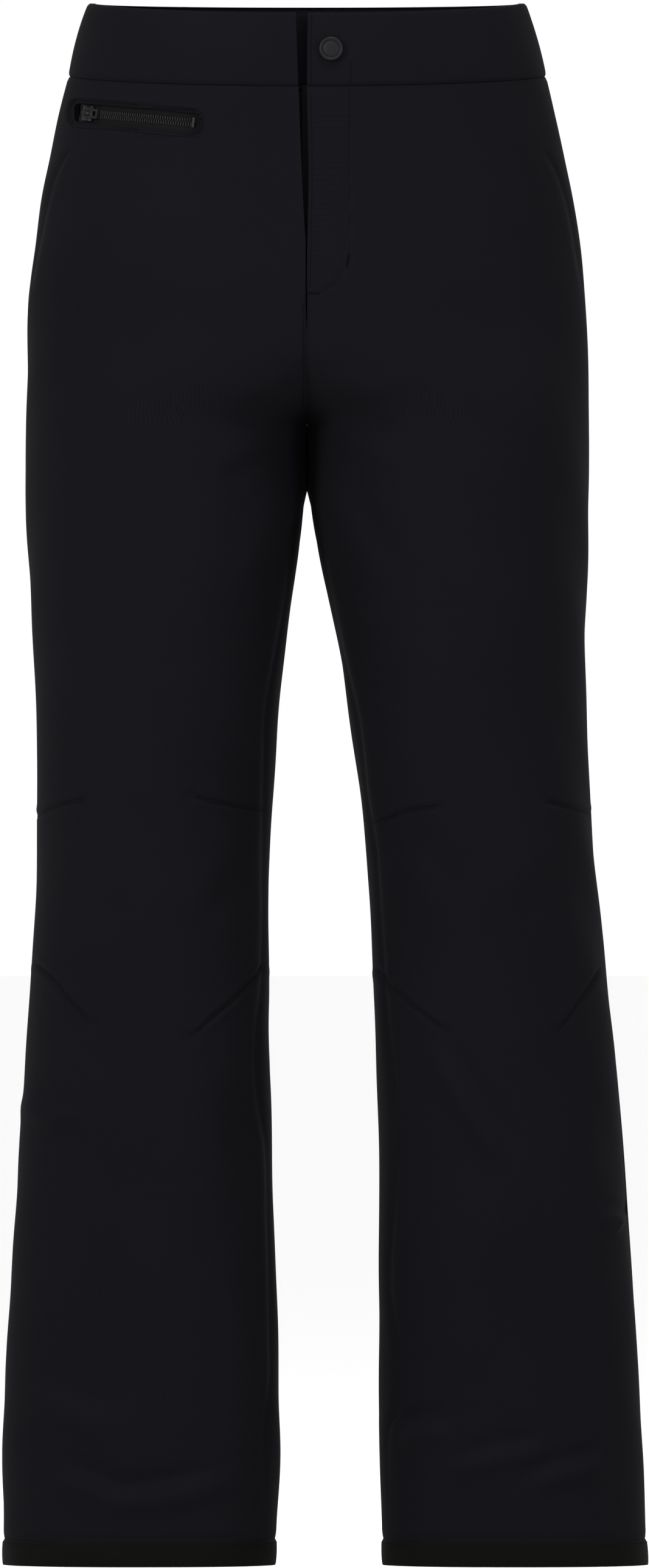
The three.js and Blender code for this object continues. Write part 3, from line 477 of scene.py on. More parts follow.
# The mouths of the hand pockets and the curved stitch line of the fly, each with its half width, its
# depth and the height of its shoulders.
PLAIN_LINES = {
    "right": [([(-158, 98), (-167, 112), (-175, 135), (-181, 165), (-186, 197)], 1.4, 0.9, 0.3)],
    "left": [
        ([(158, 98), (167, 112), (175, 135), (181, 165), (186, 197)], 1.4, 0.9, 0.3),
        ([(28.5, 60), (28.3, 100), (28.2, 140), (28, 166), (25, 180), (17, 191), (2, 197)], 1.6, 0.45, 0.25),
    ],
}
INSEAMS = {
    "right": [(-3, 300), (-14, 400), (-26, 470), (-28, 505), (-29.5, 579), (-30, 628), (-31, 663), (-34, 686),
              (-34.5, 718), (-29, 754), (-26, 777), (-25, 850), (-24, 915), (-29, 966), (-27, 1040)],
    "left": [(3, 300), (16, 400), (31, 470), (36, 505), (39, 530), (45, 565), (47, 590), (53, 670), (58, 720),
             (61, 763), (59, 804), (55, 860), (61, 905), (60, 943), (54, 965), (56, 1040)],
}
# Each fold: its line, half width and height.
FRONT_FOLDS = {
    "right": [
        ([(-178, 985), (-150, 997), (-123, 1007), (-80, 1001), (-38, 990)], 9, 2.6),
        ([(-196, 930), (-160, 948), (-118, 958)], 11, 1.2),
        ([(-194, 735), (-176, 746), (-150, 752)], 8, 1.6),
        ([(-170, 560), (-140, 580), (-118, 610)], 14, 0.9),
        ([(-40, 560), (-66, 585), (-84, 618)], 13, 0.9),
        ([(-8, 250), (-30, 262), (-62, 268)], 9, 1.0),
        ([(-6, 275), (-34, 296), (-70, 312)], 10, 1.2),
        ([(-6, 318), (-26, 352), (-44, 400)], 11, 1.3),
        ([(-60, 700), (-74, 760), (-80, 850)], 22, 1.2),
        ([(-150, 700), (-146, 800), (-156, 900)], 20, 1.1),
    ],
    "left": [
        ([(82, 697), (100, 730), (120, 760), (136, 784)], 9, 2.2),
        ([(190, 815), (206, 818), (214, 822)], 6, 1.8),
        ([(90, 990), (128, 978), (165, 972)], 8, 2.0),
        ([(143, 998), (175, 988), (208, 981)], 8, 2.0),
        ([(60, 968), (78, 962), (98, 958)], 9, 2.2),
        ([(170, 560), (148, 582), (128, 612)], 14, 0.9),
        ([(52, 566), (74, 590), (92, 620)], 13, 0.9),
        ([(8, 250), (30, 260), (60, 266)], 9, 1.0),
        ([(6, 275), (34, 296), (72, 310)], 10, 1.2),
        ([(6, 318), (28, 352), (48, 398)], 11, 1.3),
        ([(96, 830), (104, 880), (100, 930)], 20, 1.2),
        ([(180, 700), (184, 800), (196, 890)], 20, 1.1),
    ],
}
BACK_FOLDS = {
    "right": [
        ([(-10, 262), (-50, 290), (-104, 306), (-160, 300)], 12, 2.2),
        ([(-8, 300), (-50, 332), (-96, 346)], 12, 1.8),
        ([(-40, 560), (-100, 576), (-168, 566)], 8, 2.4),
        ([(-34, 596), (-96, 610), (-172, 600)], 8, 2.0),
        ([(-40, 634), (-100, 646), (-170, 640)], 9, 1.6),
        ([(-60, 900), (-120, 930), (-180, 940)], 12, 1.6),
        ([(-50, 985), (-110, 1000), (-180, 992)], 9, 1.8),
    ],
    "left": [
        ([(10, 262), (50, 290), (104, 306), (160, 300)], 12, 2.2),
        ([(8, 300), (50, 332), (96, 346)], 12, 1.8),
        ([(50, 562), (112, 578), (180, 568)], 8, 2.4),
        ([(50, 598), (112, 612), (184, 602)], 8, 2.0),
        ([(52, 636), (116, 648), (186, 642)], 9, 1.6),
        ([(70, 905), (130, 930), (200, 945)], 12, 1.6),
        ([(66, 985), (130, 1002), (205, 994)], 9, 1.8),
    ],
}


KNEE_MIDDLE = 112
CATMULL_ROM = np.array([(0, 2, 0, 0), (-1, 0, 1, 0), (2, -5, 4, -1), (-1, 3, -3, 1)]) / 2


def flowing(points, pieces=8):
    """A smooth curve through given points, as many short steps (in metres)."""
    p = np.array(points, float) * MM
    p = np.vstack([2 * p[0] - p[1], p, 2 * p[-1] - p[-2]])
    powers = (np.arange(pieces)[:, None] / pieces) ** np.arange(4)
    curve = [powers @ CATMULL_ROM @ p[i - 1 : i + 3] for i in range(1, len(p) - 2)]
    return np.vstack(curve + [p[-2]]) * (1, -1)


def distance_to(line, x, z):
    """Signed distance from a line, and how far along it (0 to 1), for every point."""
    best = np.full(x.shape, 1e9)
    signed = np.zeros(x.shape)
    along = np.zeros(x.shape)
    count = len(line) - 1
    for i in range(count):
        a, b = line[i], line[i + 1]
        d = b - a
        t = np.clip(((x - a[0]) * d[0] + (z - a[1]) * d[1]) / (d @ d), 0, 1)
        rx, rz = x - a[0] - t * d[0], z - a[1] - t * d[1]
        r = np.hypot(rx, rz)
        closer = r < best
        side = np.sign(d[0] * rz - d[1] * rx)
        best = np.where(closer, r, best)
        signed = np.where(closer, r * side, signed)
        along = np.where(closer, (i + t) / count, along)
    return signed, along


def fading(along, share=0.3):
    """1 in the middle of a line, easing to 0 at its ends."""
    ends = np.clip(np.minimum(along, 1 - along) / share, 0, 1)
    return ends * ends * (3 - 2 * ends)


FOLD_BOLDNESS = 1.7  # every drawn fold is made this much higher


def fold(x, z, points, width, height):
    """A ridge with a sharper side and a shallow valley beside it."""
    signed, along = distance_to(flowing(points), x, z)
    s = signed / (width * MM)
    shape = np.exp(-(s**2)) - 0.6 * np.exp(-((s - 1.4) ** 2) / 0.6)
    return FOLD_BOLDNESS * height * MM * shape * fading(along)


def pinch(x, z, points, width, depth, shoulder=0.0):
    """A stitched-down line: a narrow valley between soft shoulders."""
    signed, along = distance_to(flowing(points), x, z)
    s = signed / (width * MM)
    ends = fading(along, 0.12)
    return MM * ends * (-depth * np.exp(-(s**2)) + shoulder * np.exp(-((np.abs(s) - 3) ** 2) / 3))


rng = np.random.default_rng(7)
RIPPLES = [
    (rng.uniform(18, 46), rng.uniform(10, 60), rng.uniform(0, 6.28), rng.uniform(0.12, 0.3)) for _ in range(9)
]


def landscape(side, face, point):
    """How far the cloth stands out from the smooth shape at each point."""
    x, y, z = point[..., 0], point[..., 1], point[..., 2]
    height = np.zeros(x.shape)
    for across, down, phase, size in RIPPLES:
        wander = across * (x + 0.4 * y) * 1.4 + down * z + phase
        height += size * MM * np.sin(wander) * np.sin(wander * 0.61 + down * y + 2 * phase)
    front = face < 0
    for points, width, tall in FRONT_FOLDS[side]:
        height += np.where(front, fold(x, z, points, width, tall), 0)
    for points, width, tall in BACK_FOLDS[side]:
        height += np.where(front, 0, fold(x, z, points, width, tall))
    for points in KNEE_DARTS[side]:
        height += np.where(front, pinch(x, z, points, 1.3, 1.7, 0.45), 0)
        tip = min((points[0], points[-1]), key=lambda p: abs(abs(p[0]) - KNEE_MIDDLE)) * np.array([MM, -MM])
        away = ((x - tip[0]) ** 2 + 2 * (z - tip[1]) ** 2) / (5 * MM) ** 2
        height -= np.where(front, 1.1 * MM * np.exp(-away), 0)
    for points, width, depth, shoulder in PLAIN_LINES[side]:
        height += np.where(front, pinch(x, z, points, width, depth, shoulder), 0)
    height += np.where(front, pinch(x, z, INSEAMS[side], 1.6, 1.1, 0.35), 0)
    return height


def band_top(turn):
    """Height of the waist edge, which dips at the front."""
    return np.where(turn < 0, -WAIST_DIP * np.abs(np.sin(turn * math.pi / 2)) ** 1.3, 0.0)


FRONT_SEAM_TOP = -0.19
THIGHS_PART = -0.345  # the thighs touch down to here at the back


def seams(side, turn, point):
    """Side seams all the way down, and the centre seams above the crotch."""
    x, y, z = point[..., 0], point[..., 1], point[..., 2]
    near_side = np.where(np.abs(turn) < 0.3, np.abs(y), 1)
    height = -1.1 * MM * np.exp(-((near_side / (1.6 * MM)) ** 2))
    band_seam = z - band_top(turn) + BAND_HEIGHT
    height = height - 0.7 * MM * np.exp(-((band_seam / (1.6 * MM)) ** 2))
    height = height - 1.0 * MM * np.exp(-(((z - HEM_TOP) / (2 * MM)) ** 2))
    if side == "right":
        edge = window_distance(point)
        height = height - 0.9 * MM * np.exp(-((edge / (1.1 * MM)) ** 2))
        height = height + 0.35 * MM * np.exp(-(((edge - 3.2 * MM) / (1.4 * MM)) ** 2))
    centre = np.where((np.abs(turn) > 0.7) & (z > CROTCH), np.abs(x), 1)
    below_fly = np.clip((np.where(turn < 0, FRONT_SEAM_TOP, -BAND_HEIGHT) - z) / 0.008, 0, 1)
    return height - 1.3 * MM * below_fly * np.exp(-((centre / (1.8 * MM)) ** 2))


def cloth(side, turn, z, sink=0.0):
    """Points of the finished cloth: turn runs from -1 (front middle) over 0 (side seam) to 1 (back)."""
    turn, z = np.broadcast_arrays(np.asarray(turn, float), np.asarray(z, float))
    face = np.where(turn < 0, -1.0, 1.0)
    last = angle_at(side, z, 0.0)
    point, outward = oval(side, np.abs(turn) * last, face, z)
    height = landscape(side, face, point) + seams(side, turn, point) - sink
    # At the middle seam cloth moves forward and back only, so the two halves stay together.
    out = np.abs(point[..., 0])
    steady = np.where(z > CROTCH, np.clip(out / (10 * MM), 0, 1), 1.0)
    moved = point + outward * height[..., None] * np.stack([steady, 0 * steady + 1, 0 * steady + 1], -1)
    # Just below the crotch the thighs touch at the back.
    touch = np.clip((z - THIGHS_PART) / 0.02, 0, 1) * np.clip((CROTCH + 4 * MM - z) / 0.003, 0, 1)
    around = touch * np.exp(-(((turn - 0.93) / 0.05) ** 2))
    reach = np.abs(moved[..., 0]) * (1 - around) + (sink - 0.7 * MM) * around
    moved[..., 0] = np.where(around > 1e-4, SIDES[side] * reach, moved[..., 0])
    return moved


def front_cloth(x, z, sink=0.0):
    """Points of the front of the cloth at given places across and up, in metres."""
    x, z, sink = np.broadcast_arrays(*(np.asarray(a, float) for a in (x, z, sink)))
    out = np.zeros(x.shape + (3,))
    for side, sign in SIDES.items():
        here = (x * sign > 0) | ((x == 0) & (sign > 0))
        if here.any():
            last = angle_at(side, z[here], 0.0)
            angle = angle_at(side, z[here], np.abs(x[here]))
            out[here] = cloth(side, -angle / last, z[here], sink[here])
    return out


print("folds drawn:", sum(len(v) for d in (FRONT_FOLDS, BACK_FOLDS) for v in d.values()))

# %% [markdown]
# ## From points to cloth
#
# A grid of points becomes a piece of cloth with a real thickness: an outer layer, an inner layer
# and a rim all round, so that it is one closed skin. The shading directions come from the shape
# itself and not from the grid, so two pieces that meet in the middle of a leg look like one.


# %% Make a closed piece of cloth
def finished(name, points, faces, materials, slots=None, uv=None, shade=None):
    """A linked mesh object from points and four-sided faces, smooth all over."""
    mesh = bpy.data.meshes.new(name)
    mesh.from_pydata(np.asarray(points).tolist(), [], np.asarray(faces).tolist())
    for material in materials:
        mesh.materials.append(material)
    if slots is not None:
        mesh.polygons.foreach_set("material_index", np.asarray(slots, np.int32))
    mesh.polygons.foreach_set("use_smooth", np.ones(len(mesh.polygons), bool))
    loops = np.zeros(len(mesh.loops), np.int32)
    mesh.loops.foreach_get("vertex_index", loops)
    if uv is not None:
        layer = mesh.uv_layers.new(name="cloth")
        layer.data.foreach_set("uv", np.asarray(uv)[loops].ravel())
    if shade is not None:
        mesh.normals_split_custom_set(np.asarray(shade).tolist())
    mesh.update()
    obj = bpy.data.objects.new(name, mesh)
    bpy.context.scene.collection.objects.link(obj)
    return obj


FLAT = {}  # width, length and area of each piece of cloth, measured over its curves


def sewn(name, place, u, v, thick, materials, keep=None, hoop=False):
    """Cloth from place(u, v, sink), which gives a point that lies sink metres behind the surface."""
    outer, inner = place(u, v, 0.0), place(u, v, thick)
    rows, cols = outer.shape[:2]
    count = rows * cols
    du = np.maximum(np.ptp(u) * 1e-4, 1e-6)
    dv = np.maximum(np.ptp(v) * 1e-4, 1e-6)
    ends = [(a.min(), a.max()) for a in (u, v)]
    beside = [place(np.clip(u + d, *ends[0]) if not hoop else u + d, v, 0.0) for d in (du, -du)]
    above = [place(u, np.clip(v + d, *ends[1]), 0.0) for d in (dv, -dv)]
    normals = np.cross(beside[0] - beside[1], above[0] - above[1])
    normals /= np.maximum(np.linalg.norm(normals, axis=-1, keepdims=True), 1e-12)
    if np.median(((outer - inner) * normals).sum(-1)) < 0:
        normals = -normals
    step = cols if hoop else cols - 1
    index = np.arange(count).reshape(rows, cols)
    right = np.roll(index, -1, 1)
    cells = np.stack([index[:-1, :step], right[:-1, :step], right[1:, :step], index[1:, :step]], -1)
    cells = cells[np.ones(cells.shape[:2], bool) if keep is None else keep[:, :step]]
    flat = outer.reshape(-1, 3)
    turned = np.cross(flat[cells[:, 1]] - flat[cells[:, 0]], flat[cells[:, 3]] - flat[cells[:, 0]])
    agree = (turned * normals.reshape(-1, 3)[cells[:, 0]]).sum()
    front = cells if agree > 0 else cells[:, ::-1]
    back = front[:, ::-1] + count
    starts, stops = front.ravel(), np.roll(front, -1, 1).ravel()
    paired = np.isin(starts * count + stops, stops * count + starts)
    p, q = starts[~paired], stops[~paired]
    rim = np.stack([q, p, p + count, q + count], -1)
    faces = np.concatenate([front, back, rim])
    corners = flat[front]
    diagonals = corners[:, 2] - corners[:, 0], corners[:, 3] - corners[:, 1]
    area = np.linalg.norm(np.cross(*diagonals), axis=1).sum() / 2
    kept = np.ones((rows - 1, step), bool) if keep is None else keep[:, :step]
    across = np.linalg.norm(np.roll(outer, -1, 1) - outer, axis=-1)[:-1, :step]
    down = np.linalg.norm(np.diff(outer, axis=0), axis=-1)[:, :step]
    FLAT[name] = ((across * kept).sum(1).max(), (down * kept).sum(0).max(), area)
    used, faces = np.unique(faces, return_inverse=True)
    faces = faces.reshape(-1, 4)
    points = np.concatenate([flat, inner.reshape(-1, 3)])[used]
    across = np.linalg.norm(np.diff(outer, axis=1, prepend=outer[:, :1]), axis=-1).cumsum(1)
    down = np.linalg.norm(np.diff(outer, axis=0, prepend=outer[:1]), axis=-1).cumsum(0)
    middle_row = across[rows // 2][None].repeat(rows, 0)
    middle_col = down[:, cols // 2][:, None].repeat(cols, 1)
    uv = np.stack([middle_row, middle_col], -1).reshape(-1, 2)
    uv = np.concatenate([uv, uv])[used]
    slots = np.zeros(len(faces), int)
    slots[len(front) : 2 * len(front)] = len(materials) - 1
    both = np.concatenate([normals.reshape(-1, 3), -normals.reshape(-1, 3)])[used]
    shade = both[faces].reshape(-1, 3)
    shade[8 * len(front) :] = 0
    return finished(name, points, faces, materials, slots, uv, shade)


def spaced(start, end, step, dense=(), fine=0.7 * MM, reach=7 * MM):
    """Values from start to end about a step apart, closer together round each dense value."""
    values = [start]
    forward = 1 if end > start else -1
    while (end - values[-1]) * forward > 1e-9:
        here = values[-1] + forward * fine
        gap = min([abs(here - d) for d in dense], default=1)
        values.append(values[-1] + forward * (fine + (step - fine) * min(gap / reach, 1)))
    values[-1] = end
    return np.array(values)


SHELL = 2.2 * MM
print("cloth is", SHELL / MM, "mm thick")

# %% [markdown]
# ## Where the fly folds
#
# The wearer's left front is cut open at the middle. Its free edge laps over the zip and is held by the snap,
# and when it is opened it folds back along a slanted line. The frame's hinge gives that line. Cloth between
# the free edge and the line is cut as a piece of its own; the rest belongs to the hip.

# %% Fly, waist and hip lines
JOINTS = {joint["name"]: joint for joint in frame["joints"]}
fold_at = np.array(JOINTS["fly_fold"]["pos_m"])
fold_way = np.array(JOINTS["fly_fold"]["axis"])
FOLD_SLOPE = fold_way[0] / fold_way[2]
FLY_FOOT = fold_at[2] - fold_at[0] / FOLD_SLOPE
FLY_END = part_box("fly_flap")[0].z
FLY_OPEN = -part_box("waistband_front_right")[1].x
OPEN_BELOW = -0.160


def fold_x(z):
    """How far from the middle plane the fly folds, at each height."""
    return np.maximum(fold_at[0] + (z - fold_at[2]) * FOLD_SLOPE, 0.3 * MM)


def right_edge(z):
    """The wearer's right edge of the fly's opening, from the middle plane."""
    opened = np.clip((z - OPEN_BELOW) / -OPEN_BELOW, 0, 1)
    return 1.0 * MM * np.clip((z - FLY_FOOT) / 0.02, 0, 1) + (FLY_OPEN - 1.2 * MM) * opened**0.8


def left_edge(z):
    """The free edge of the fly, which wanders a little as hung cloth does."""
    shown = np.clip((z - FLY_FOOT) / 0.02, 0, 1)
    return 0.5 * MM * shown * (1 + np.sin(z * 45 + 0.6))


def to_turn(side, z, out):
    return angle_at(side, z, out) / angle_at(side, z, 0.0)


def fly_turn(side, u, z):
    """The turn at u, which runs from 1 over 0 to -1 at the fold line, and on to -2 at the fly's free edge."""
    if side == "right":
        edge = last = to_turn(side, z, right_edge(z))
    else:
        edge, last = to_turn(side, z, fold_x(z)), to_turn(side, z, left_edge(z))
    return np.where(u < -1, -edge + (u + 1) * (last - edge), np.where(u < 0, u * edge, u))


def fly_blend(piece):
    """Bakes a piece's placement into its points."""
    away = np.array([fold_way[2], 0, -fold_way[0]])
    away /= np.linalg.norm(away)
    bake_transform(piece)


def hip_blend(piece, side):
    """Bakes a piece's placement into its points."""
    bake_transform(piece)


def knee_blend(piece, side):
    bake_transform(piece)


print(f"the fly folds from {FLY_FOOT:.3f} m up")

# %% [markdown]
# ## The shell
#
# Each side of the pants is two panels joined at the side seam. Its cloth is made in two pieces: one over the
# hip and one down the leg. They meet on the thigh. The hip piece starts under the waistband and follows its
# dip, and the pocket's window is left out of it.

# %% Shell cloth of the hips and legs
MEETING = -0.430
WELT = 2.6 * MM
pocket_low, pocket_high = (np.array(corner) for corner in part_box("pocket_welt"))
WINDOW_X = (pocket_low[0] + WELT, pocket_high[0] - WELT)
WINDOW_HALF = 7.8 * MM
WINDOW_Z = ((pocket_high[2] - WELT - WINDOW_HALF), (pocket_low[2] + WELT + WINDOW_HALF))
CORNER = 5 * MM


def window_middle(x):
    """Height of the middle of the pocket's window, which slopes down towards the fly."""
    return np.interp(x, WINDOW_X, WINDOW_Z)


def window_distance(points):
    """Distance outside the rounded window in the wearer's right front; negative inside it."""
    x, y, z = points[..., 0], points[..., 1], points[..., 2]
    a = np.abs(x - sum(WINDOW_X) / 2) - (WINDOW_X[1] - WINDOW_X[0]) / 2 + CORNER
    b = np.abs(z - window_middle(x)) - WINDOW_HALF + CORNER
    far = np.hypot(np.maximum(a, 0), np.maximum(b, 0)) + np.minimum(np.maximum(a, b), 0) - CORNER
    return np.where(y < 0, far, 1.0)


FOOT_V = (FLY_FOOT - MEETING) / (-BAND_HEIGHT - MEETING)  # the fly's foot, as a share of a hip's height


def height_of(v):
    """Height of a share v of a hip's height, before the dip of the waist."""
    return MEETING + (-BAND_HEIGHT - MEETING) * v


def hip_place(side):
    """place(u, v, sink) for a hip: v from 0 at the meeting to 1 at the waistband's seam.

    u from 0 to 1 runs round the back, 0 to -1 over the front to the edge of the hip's own cloth, and
    -1 to -2 on over the fly.
    """

    def place(u, v, sink):
        u, v = np.broadcast_arrays(u, v)
        z = height_of(v)
        for _ in range(3):  # turn and height depend on each other, so they settle together
            turn = fly_turn(side, u, z)
            dip = band_top(turn) * np.clip((v - FOOT_V) / (1 - FOOT_V), 0, 1)
            z = height_of(v) + dip
        return cloth(side, turn, z, sink)

    return place


def columns(side):
    """The columns round a hip, closer together at the seams."""
    coarse, fine = 2.9 * MM / 0.25, 0.8 * MM / 0.29
    parts = [spaced(1, 0, coarse, (0, 1), fine, 0.03), spaced(0, -1, coarse, (0, -1), fine, 0.03)[1:]]
    if side == "left":
        parts.append(np.linspace(-1, -2, 22)[1:])
    return np.concatenate(parts)


def shell(side):
    """Both pieces of one side's shell, and the fly of the left one."""
    u = columns(side)[None]
    v = np.concatenate([np.linspace(0, FOOT_V, 68)[:-1], np.linspace(FOOT_V, 1, 62)])[:, None]
    place = hip_place(side)
    pieces = {}
    cells_u = (u[:, :-1] + u[:, 1:]) / 2 * np.ones((len(v) - 1, 1))
    cells_v = (v[:-1] + v[1:]) / 2 * np.ones((1, u.shape[1] - 1))
    fly_cells = (cells_u < -1) & (cells_v > FOOT_V)
    keep = ~fly_cells
    if side == "right":
        keep &= window_distance(place(cells_u, cells_v, 0.0)) > 0.6 * MM
    pieces["hip"] = sewn(f"shell_hip_{side}", place, u, v, SHELL, [SHELL_CLOTH, LINING], keep)
    if side == "left":
        pieces["fly"] = sewn("fly_front", place, u, v, SHELL, [SHELL_CLOTH, LINING], fly_cells)
    turns = columns("right")[None]
    darts = np.concatenate([np.arange(-0.530, -0.556, -0.004), np.arange(-0.640, -0.700, -0.004)])
    heights = spaced(MEETING, HEM_TOP - 4 * MM, 3 * MM, darts, 1.2 * MM, 6 * MM)[:, None]
    leg_place = lambda u, v, sink: cloth(side, u, v, sink)
    pieces["leg"] = sewn(f"shell_leg_{side}", leg_place, turns, heights, SHELL, [SHELL_CLOTH, LINING])
    return pieces


for side in SIDES:
    made = shell(side)
    hip_blend(made["hip"], side)
    knee_blend(made["leg"], side)
    for part, levels in (("hip", ("hip", "groin")), ("leg", ("thigh", "knee", "shin"))):
        panels = [f"{face}_panel_{side}_{level}" for level in levels for face in ("front", "back")]
        dress(made[part], "shell_cloth", panels)
    if "fly" in made:
        fly_blend(made["fly"])
        dress(made["fly"], "shell_cloth", ["fly_flap"])
    print(side, {part: len(piece.data.polygons) for part, piece in made.items()})

# %% [markdown]
# A seam is never a bare gap. Behind the centre seams, front and back, the cloth's edges are folded
# back and covered with a narrow tape.


# %% Seam tapes at the middle
def seam_tape(name, front_z, back_z):
    """A narrow strip behind the centre seams, from the fly's end, under the crotch and up the back."""
    half, sunk = 6 * MM, 2.9 * MM
    down = np.linspace(front_z, CROTCH + 29 * MM, 30)
    up = np.linspace(CROTCH + 29 * MM, back_z, 60)
    shape = [np.append(down, up), np.append(down * 0 - 1, up * 0 + 1)]

    def place(w, t, sink):
        w, t = np.broadcast_arrays(w, t)
        spots = t * (len(shape[0]) - 1)
        z = np.interp(spots, np.arange(len(shape[0])), shape[0])
        face = np.where(spots < len(down) - 0.5, -1.0, 1.0)
        right = cloth("right", face * to_turn("right", z, np.abs(w)), z, sunk + sink)
        left = cloth("left", face * to_turn("left", z, np.abs(w)), z, sunk + sink)
        return np.where((w < 0)[..., None], right, left)

    steps = np.linspace(0, 1, len(shape[0]))[:, None]
    rows = {"front": steps[: len(down)], "back": steps[len(down) :]}
    made = []
    for face, part in rows.items():
        across = np.linspace(-half, half, 13)[None]
        made.append(sewn(f"{name}_{face}", place, across, part, 0.5 * MM, [LINING]))
    return made


for piece in seam_tape("seam_tape", -0.186, -BAND_HEIGHT - 2 * MM):
    dress(piece, "lining", body="pelvis")
print("seam tapes done")

# %% [markdown]
# ## The waistband
#
# The band is a folded strip with a stiffener inside, so it stands a little proud, is rounded along
# its top and dives in at the seam below. Its front left part laps over with the fly.

# %% Waistband
BAND = 2.6 * MM


def band_place(side):
    """place(u, v, sink) for the waistband: v from 0 at its seam to 1 at the waist edge; u as on a hip."""

    def place(u, v, sink):
        u, v = np.broadcast_arrays(u, v)
        z = -BAND_HEIGHT * (1 - v)
        for _ in range(3):
            turn = fly_turn(side, u, z)
            z = -BAND_HEIGHT * (1 - v) + band_top(turn)
        low = (1 - np.clip(v * BAND_HEIGHT / (3 * MM), 0, 1)) ** 2
        high = (1 - np.clip((1 - v) * BAND_HEIGHT / (2.2 * MM), 0, 1)) ** 2
        puff = 1.0 * MM * np.sin(math.pi * np.clip(v, 0, 1)) ** 0.6 - 0.6 * MM * low - 1.1 * MM * high
        return cloth(side, turn, z, sink - puff)

    return place


def whole_back(place_of):
    """The right and left backs as one place: u runs from -1 to 1, side seam to side seam."""

    def place(u, v, sink):
        u, v = np.broadcast_arrays(u, v)
        turn = 1 - np.abs(u)
        return np.where((u < 0)[..., None], place_of("right")(turn, v, sink), place_of("left")(turn, v, sink))

    return place


coarse, fine, reach = (size * MM / BAND_HEIGHT for size in (2.6, 0.5, 4))
band_v = spaced(0, 1, coarse, (0, 1), fine, reach)[:, None]
front_u = columns("right")
front_u = front_u[front_u <= 0]
bands = {
    "waistband_right": (band_place("right"), front_u, "waistband_front_right"),
    "waistband_left": (band_place("left"), front_u, "waistband_front_left"),
    "waistband_lap": (band_place("left"), np.linspace(-1, -2, 22), "waistband_overlap"),
    "waistband_rear": (whole_back(band_place), np.linspace(-1, 1, 141), "waistband_back"),
}
for name, (place, u, stands) in bands.items():
    piece = sewn(name, place, u[None], band_v, BAND, [SHELL_CLOTH])
    bends = name == "waistband_lap"
    if bends:
        fly_blend(piece)
    dress(piece, "shell_cloth", [stands], None if bends else "pelvis")
print("waistband pieces:", len(bands))

# %% [markdown]
# ## Inside the waist
#
# Looking in over the front edge shows the inside of the back: a plain facing at the middle and a
# ribbed elastic on each side, which draws the waist in. Ribs are the same small bar again and
# again, so a Geometry Nodes tree sets them out: it puts one shape on every point of a list, turned
# as the point says, makes the copies real and gives them their material. Stitches, zip teeth and
# the dots of the snap use the same tree.

# %% A tree that repeats a shape
def repeat_tree():
    """Instances of one object on points, with a little unevenness, then real geometry."""
    tree = bpy.data.node_groups.new("repeat_on_points", "GeometryNodeTree")
    sockets = {}
    for title, kind, way in (
        ("Points", "NodeSocketGeometry", "INPUT"),
        ("Piece", "NodeSocketObject", "INPUT"),
        ("Size", "NodeSocketFloat", "INPUT"),
        ("Unevenness", "NodeSocketFloat", "INPUT"),
        ("Seed", "NodeSocketInt", "INPUT"),
        ("Material", "NodeSocketMaterial", "INPUT"),
        ("Result", "NodeSocketGeometry", "OUTPUT"),
    ):
        sockets[title] = tree.interface.new_socket(name=title, socket_type=kind, in_out=way).identifier
    given = tree.nodes.new("NodeGroupInput").outputs
    info = node(tree, "GeometryNodeObjectInfo", Object=given["Piece"])
    facing = node(tree, "GeometryNodeInputNamedAttribute", {"data_type": "FLOAT_VECTOR"}, Name="facing")
    turn = node(tree, "FunctionNodeEulerToRotation", Euler=facing.outputs["Attribute"])
    spread = node(
        tree, "FunctionNodeRandomValue", {"data_type": "FLOAT"}, _2=-1.0, _3=1.0, Seed=given["Seed"]
    )
    size = times_plus(tree, spread.outputs[1], given["Unevenness"], given["Size"])
    copies = node(
        tree, "GeometryNodeInstanceOnPoints", Points=given["Points"], Instance=info.outputs["Geometry"],
        Rotation=turn.outputs[0], Scale=size,
    )
    real = node(tree, "GeometryNodeRealizeInstances", Geometry=copies.outputs[0])
    painted = node(tree, "GeometryNodeSetMaterial", Geometry=real.outputs[0], Material=given["Material"])
    end = tree.nodes.new("NodeGroupOutput")
    tree.links.new(painted.outputs[0], end.inputs[0])
    return tree, sockets


REPEAT, SOCKETS = repeat_tree()
print("the repeating tree has", len(REPEAT.nodes), "nodes")


def repeated(name, shape, places, ways, outs, material, size=1.0, uneven=0.0, seed=1):
    """Copies of a shape: its X along each way and its Z along each out. Returns one plain mesh."""
    ways = ways / np.linalg.norm(ways, axis=1, keepdims=True)
    outs = outs - ways * (outs * ways).sum(1, keepdims=True)
    outs = outs / np.linalg.norm(outs, axis=1, keepdims=True)
    sides = np.cross(outs, ways)
    mesh = bpy.data.meshes.new(name + "_points")
    mesh.from_pydata(np.asarray(places).tolist(), [], [])
    facing = mesh.attributes.new("facing", "FLOAT_VECTOR", "POINT")
    turns = [Matrix(np.stack([w, s, o], 1).tolist()).to_euler() for w, s, o in zip(ways, sides, outs)]
    facing.data.foreach_set("vector", np.array(turns).ravel())
    holder = bpy.data.objects.new(name + "_points", mesh)
    bpy.context.scene.collection.objects.link(holder)
    modifier = holder.modifiers.new("repeat", "NODES")
    modifier.node_group = REPEAT
    modifier[SOCKETS["Piece"]] = shape
    modifier[SOCKETS["Size"]] = size
    modifier[SOCKETS["Unevenness"]] = uneven
    modifier[SOCKETS["Seed"]] = seed
    modifier[SOCKETS["Material"]] = material
    graph = bpy.context.evaluated_depsgraph_get()
    made = bpy.data.meshes.new_from_object(holder.evaluated_get(graph))
    made.name = name
    bpy.data.objects.remove(holder)
    obj = bpy.data.objects.new(name, made)
    bpy.context.scene.collection.objects.link(obj)
    return obj


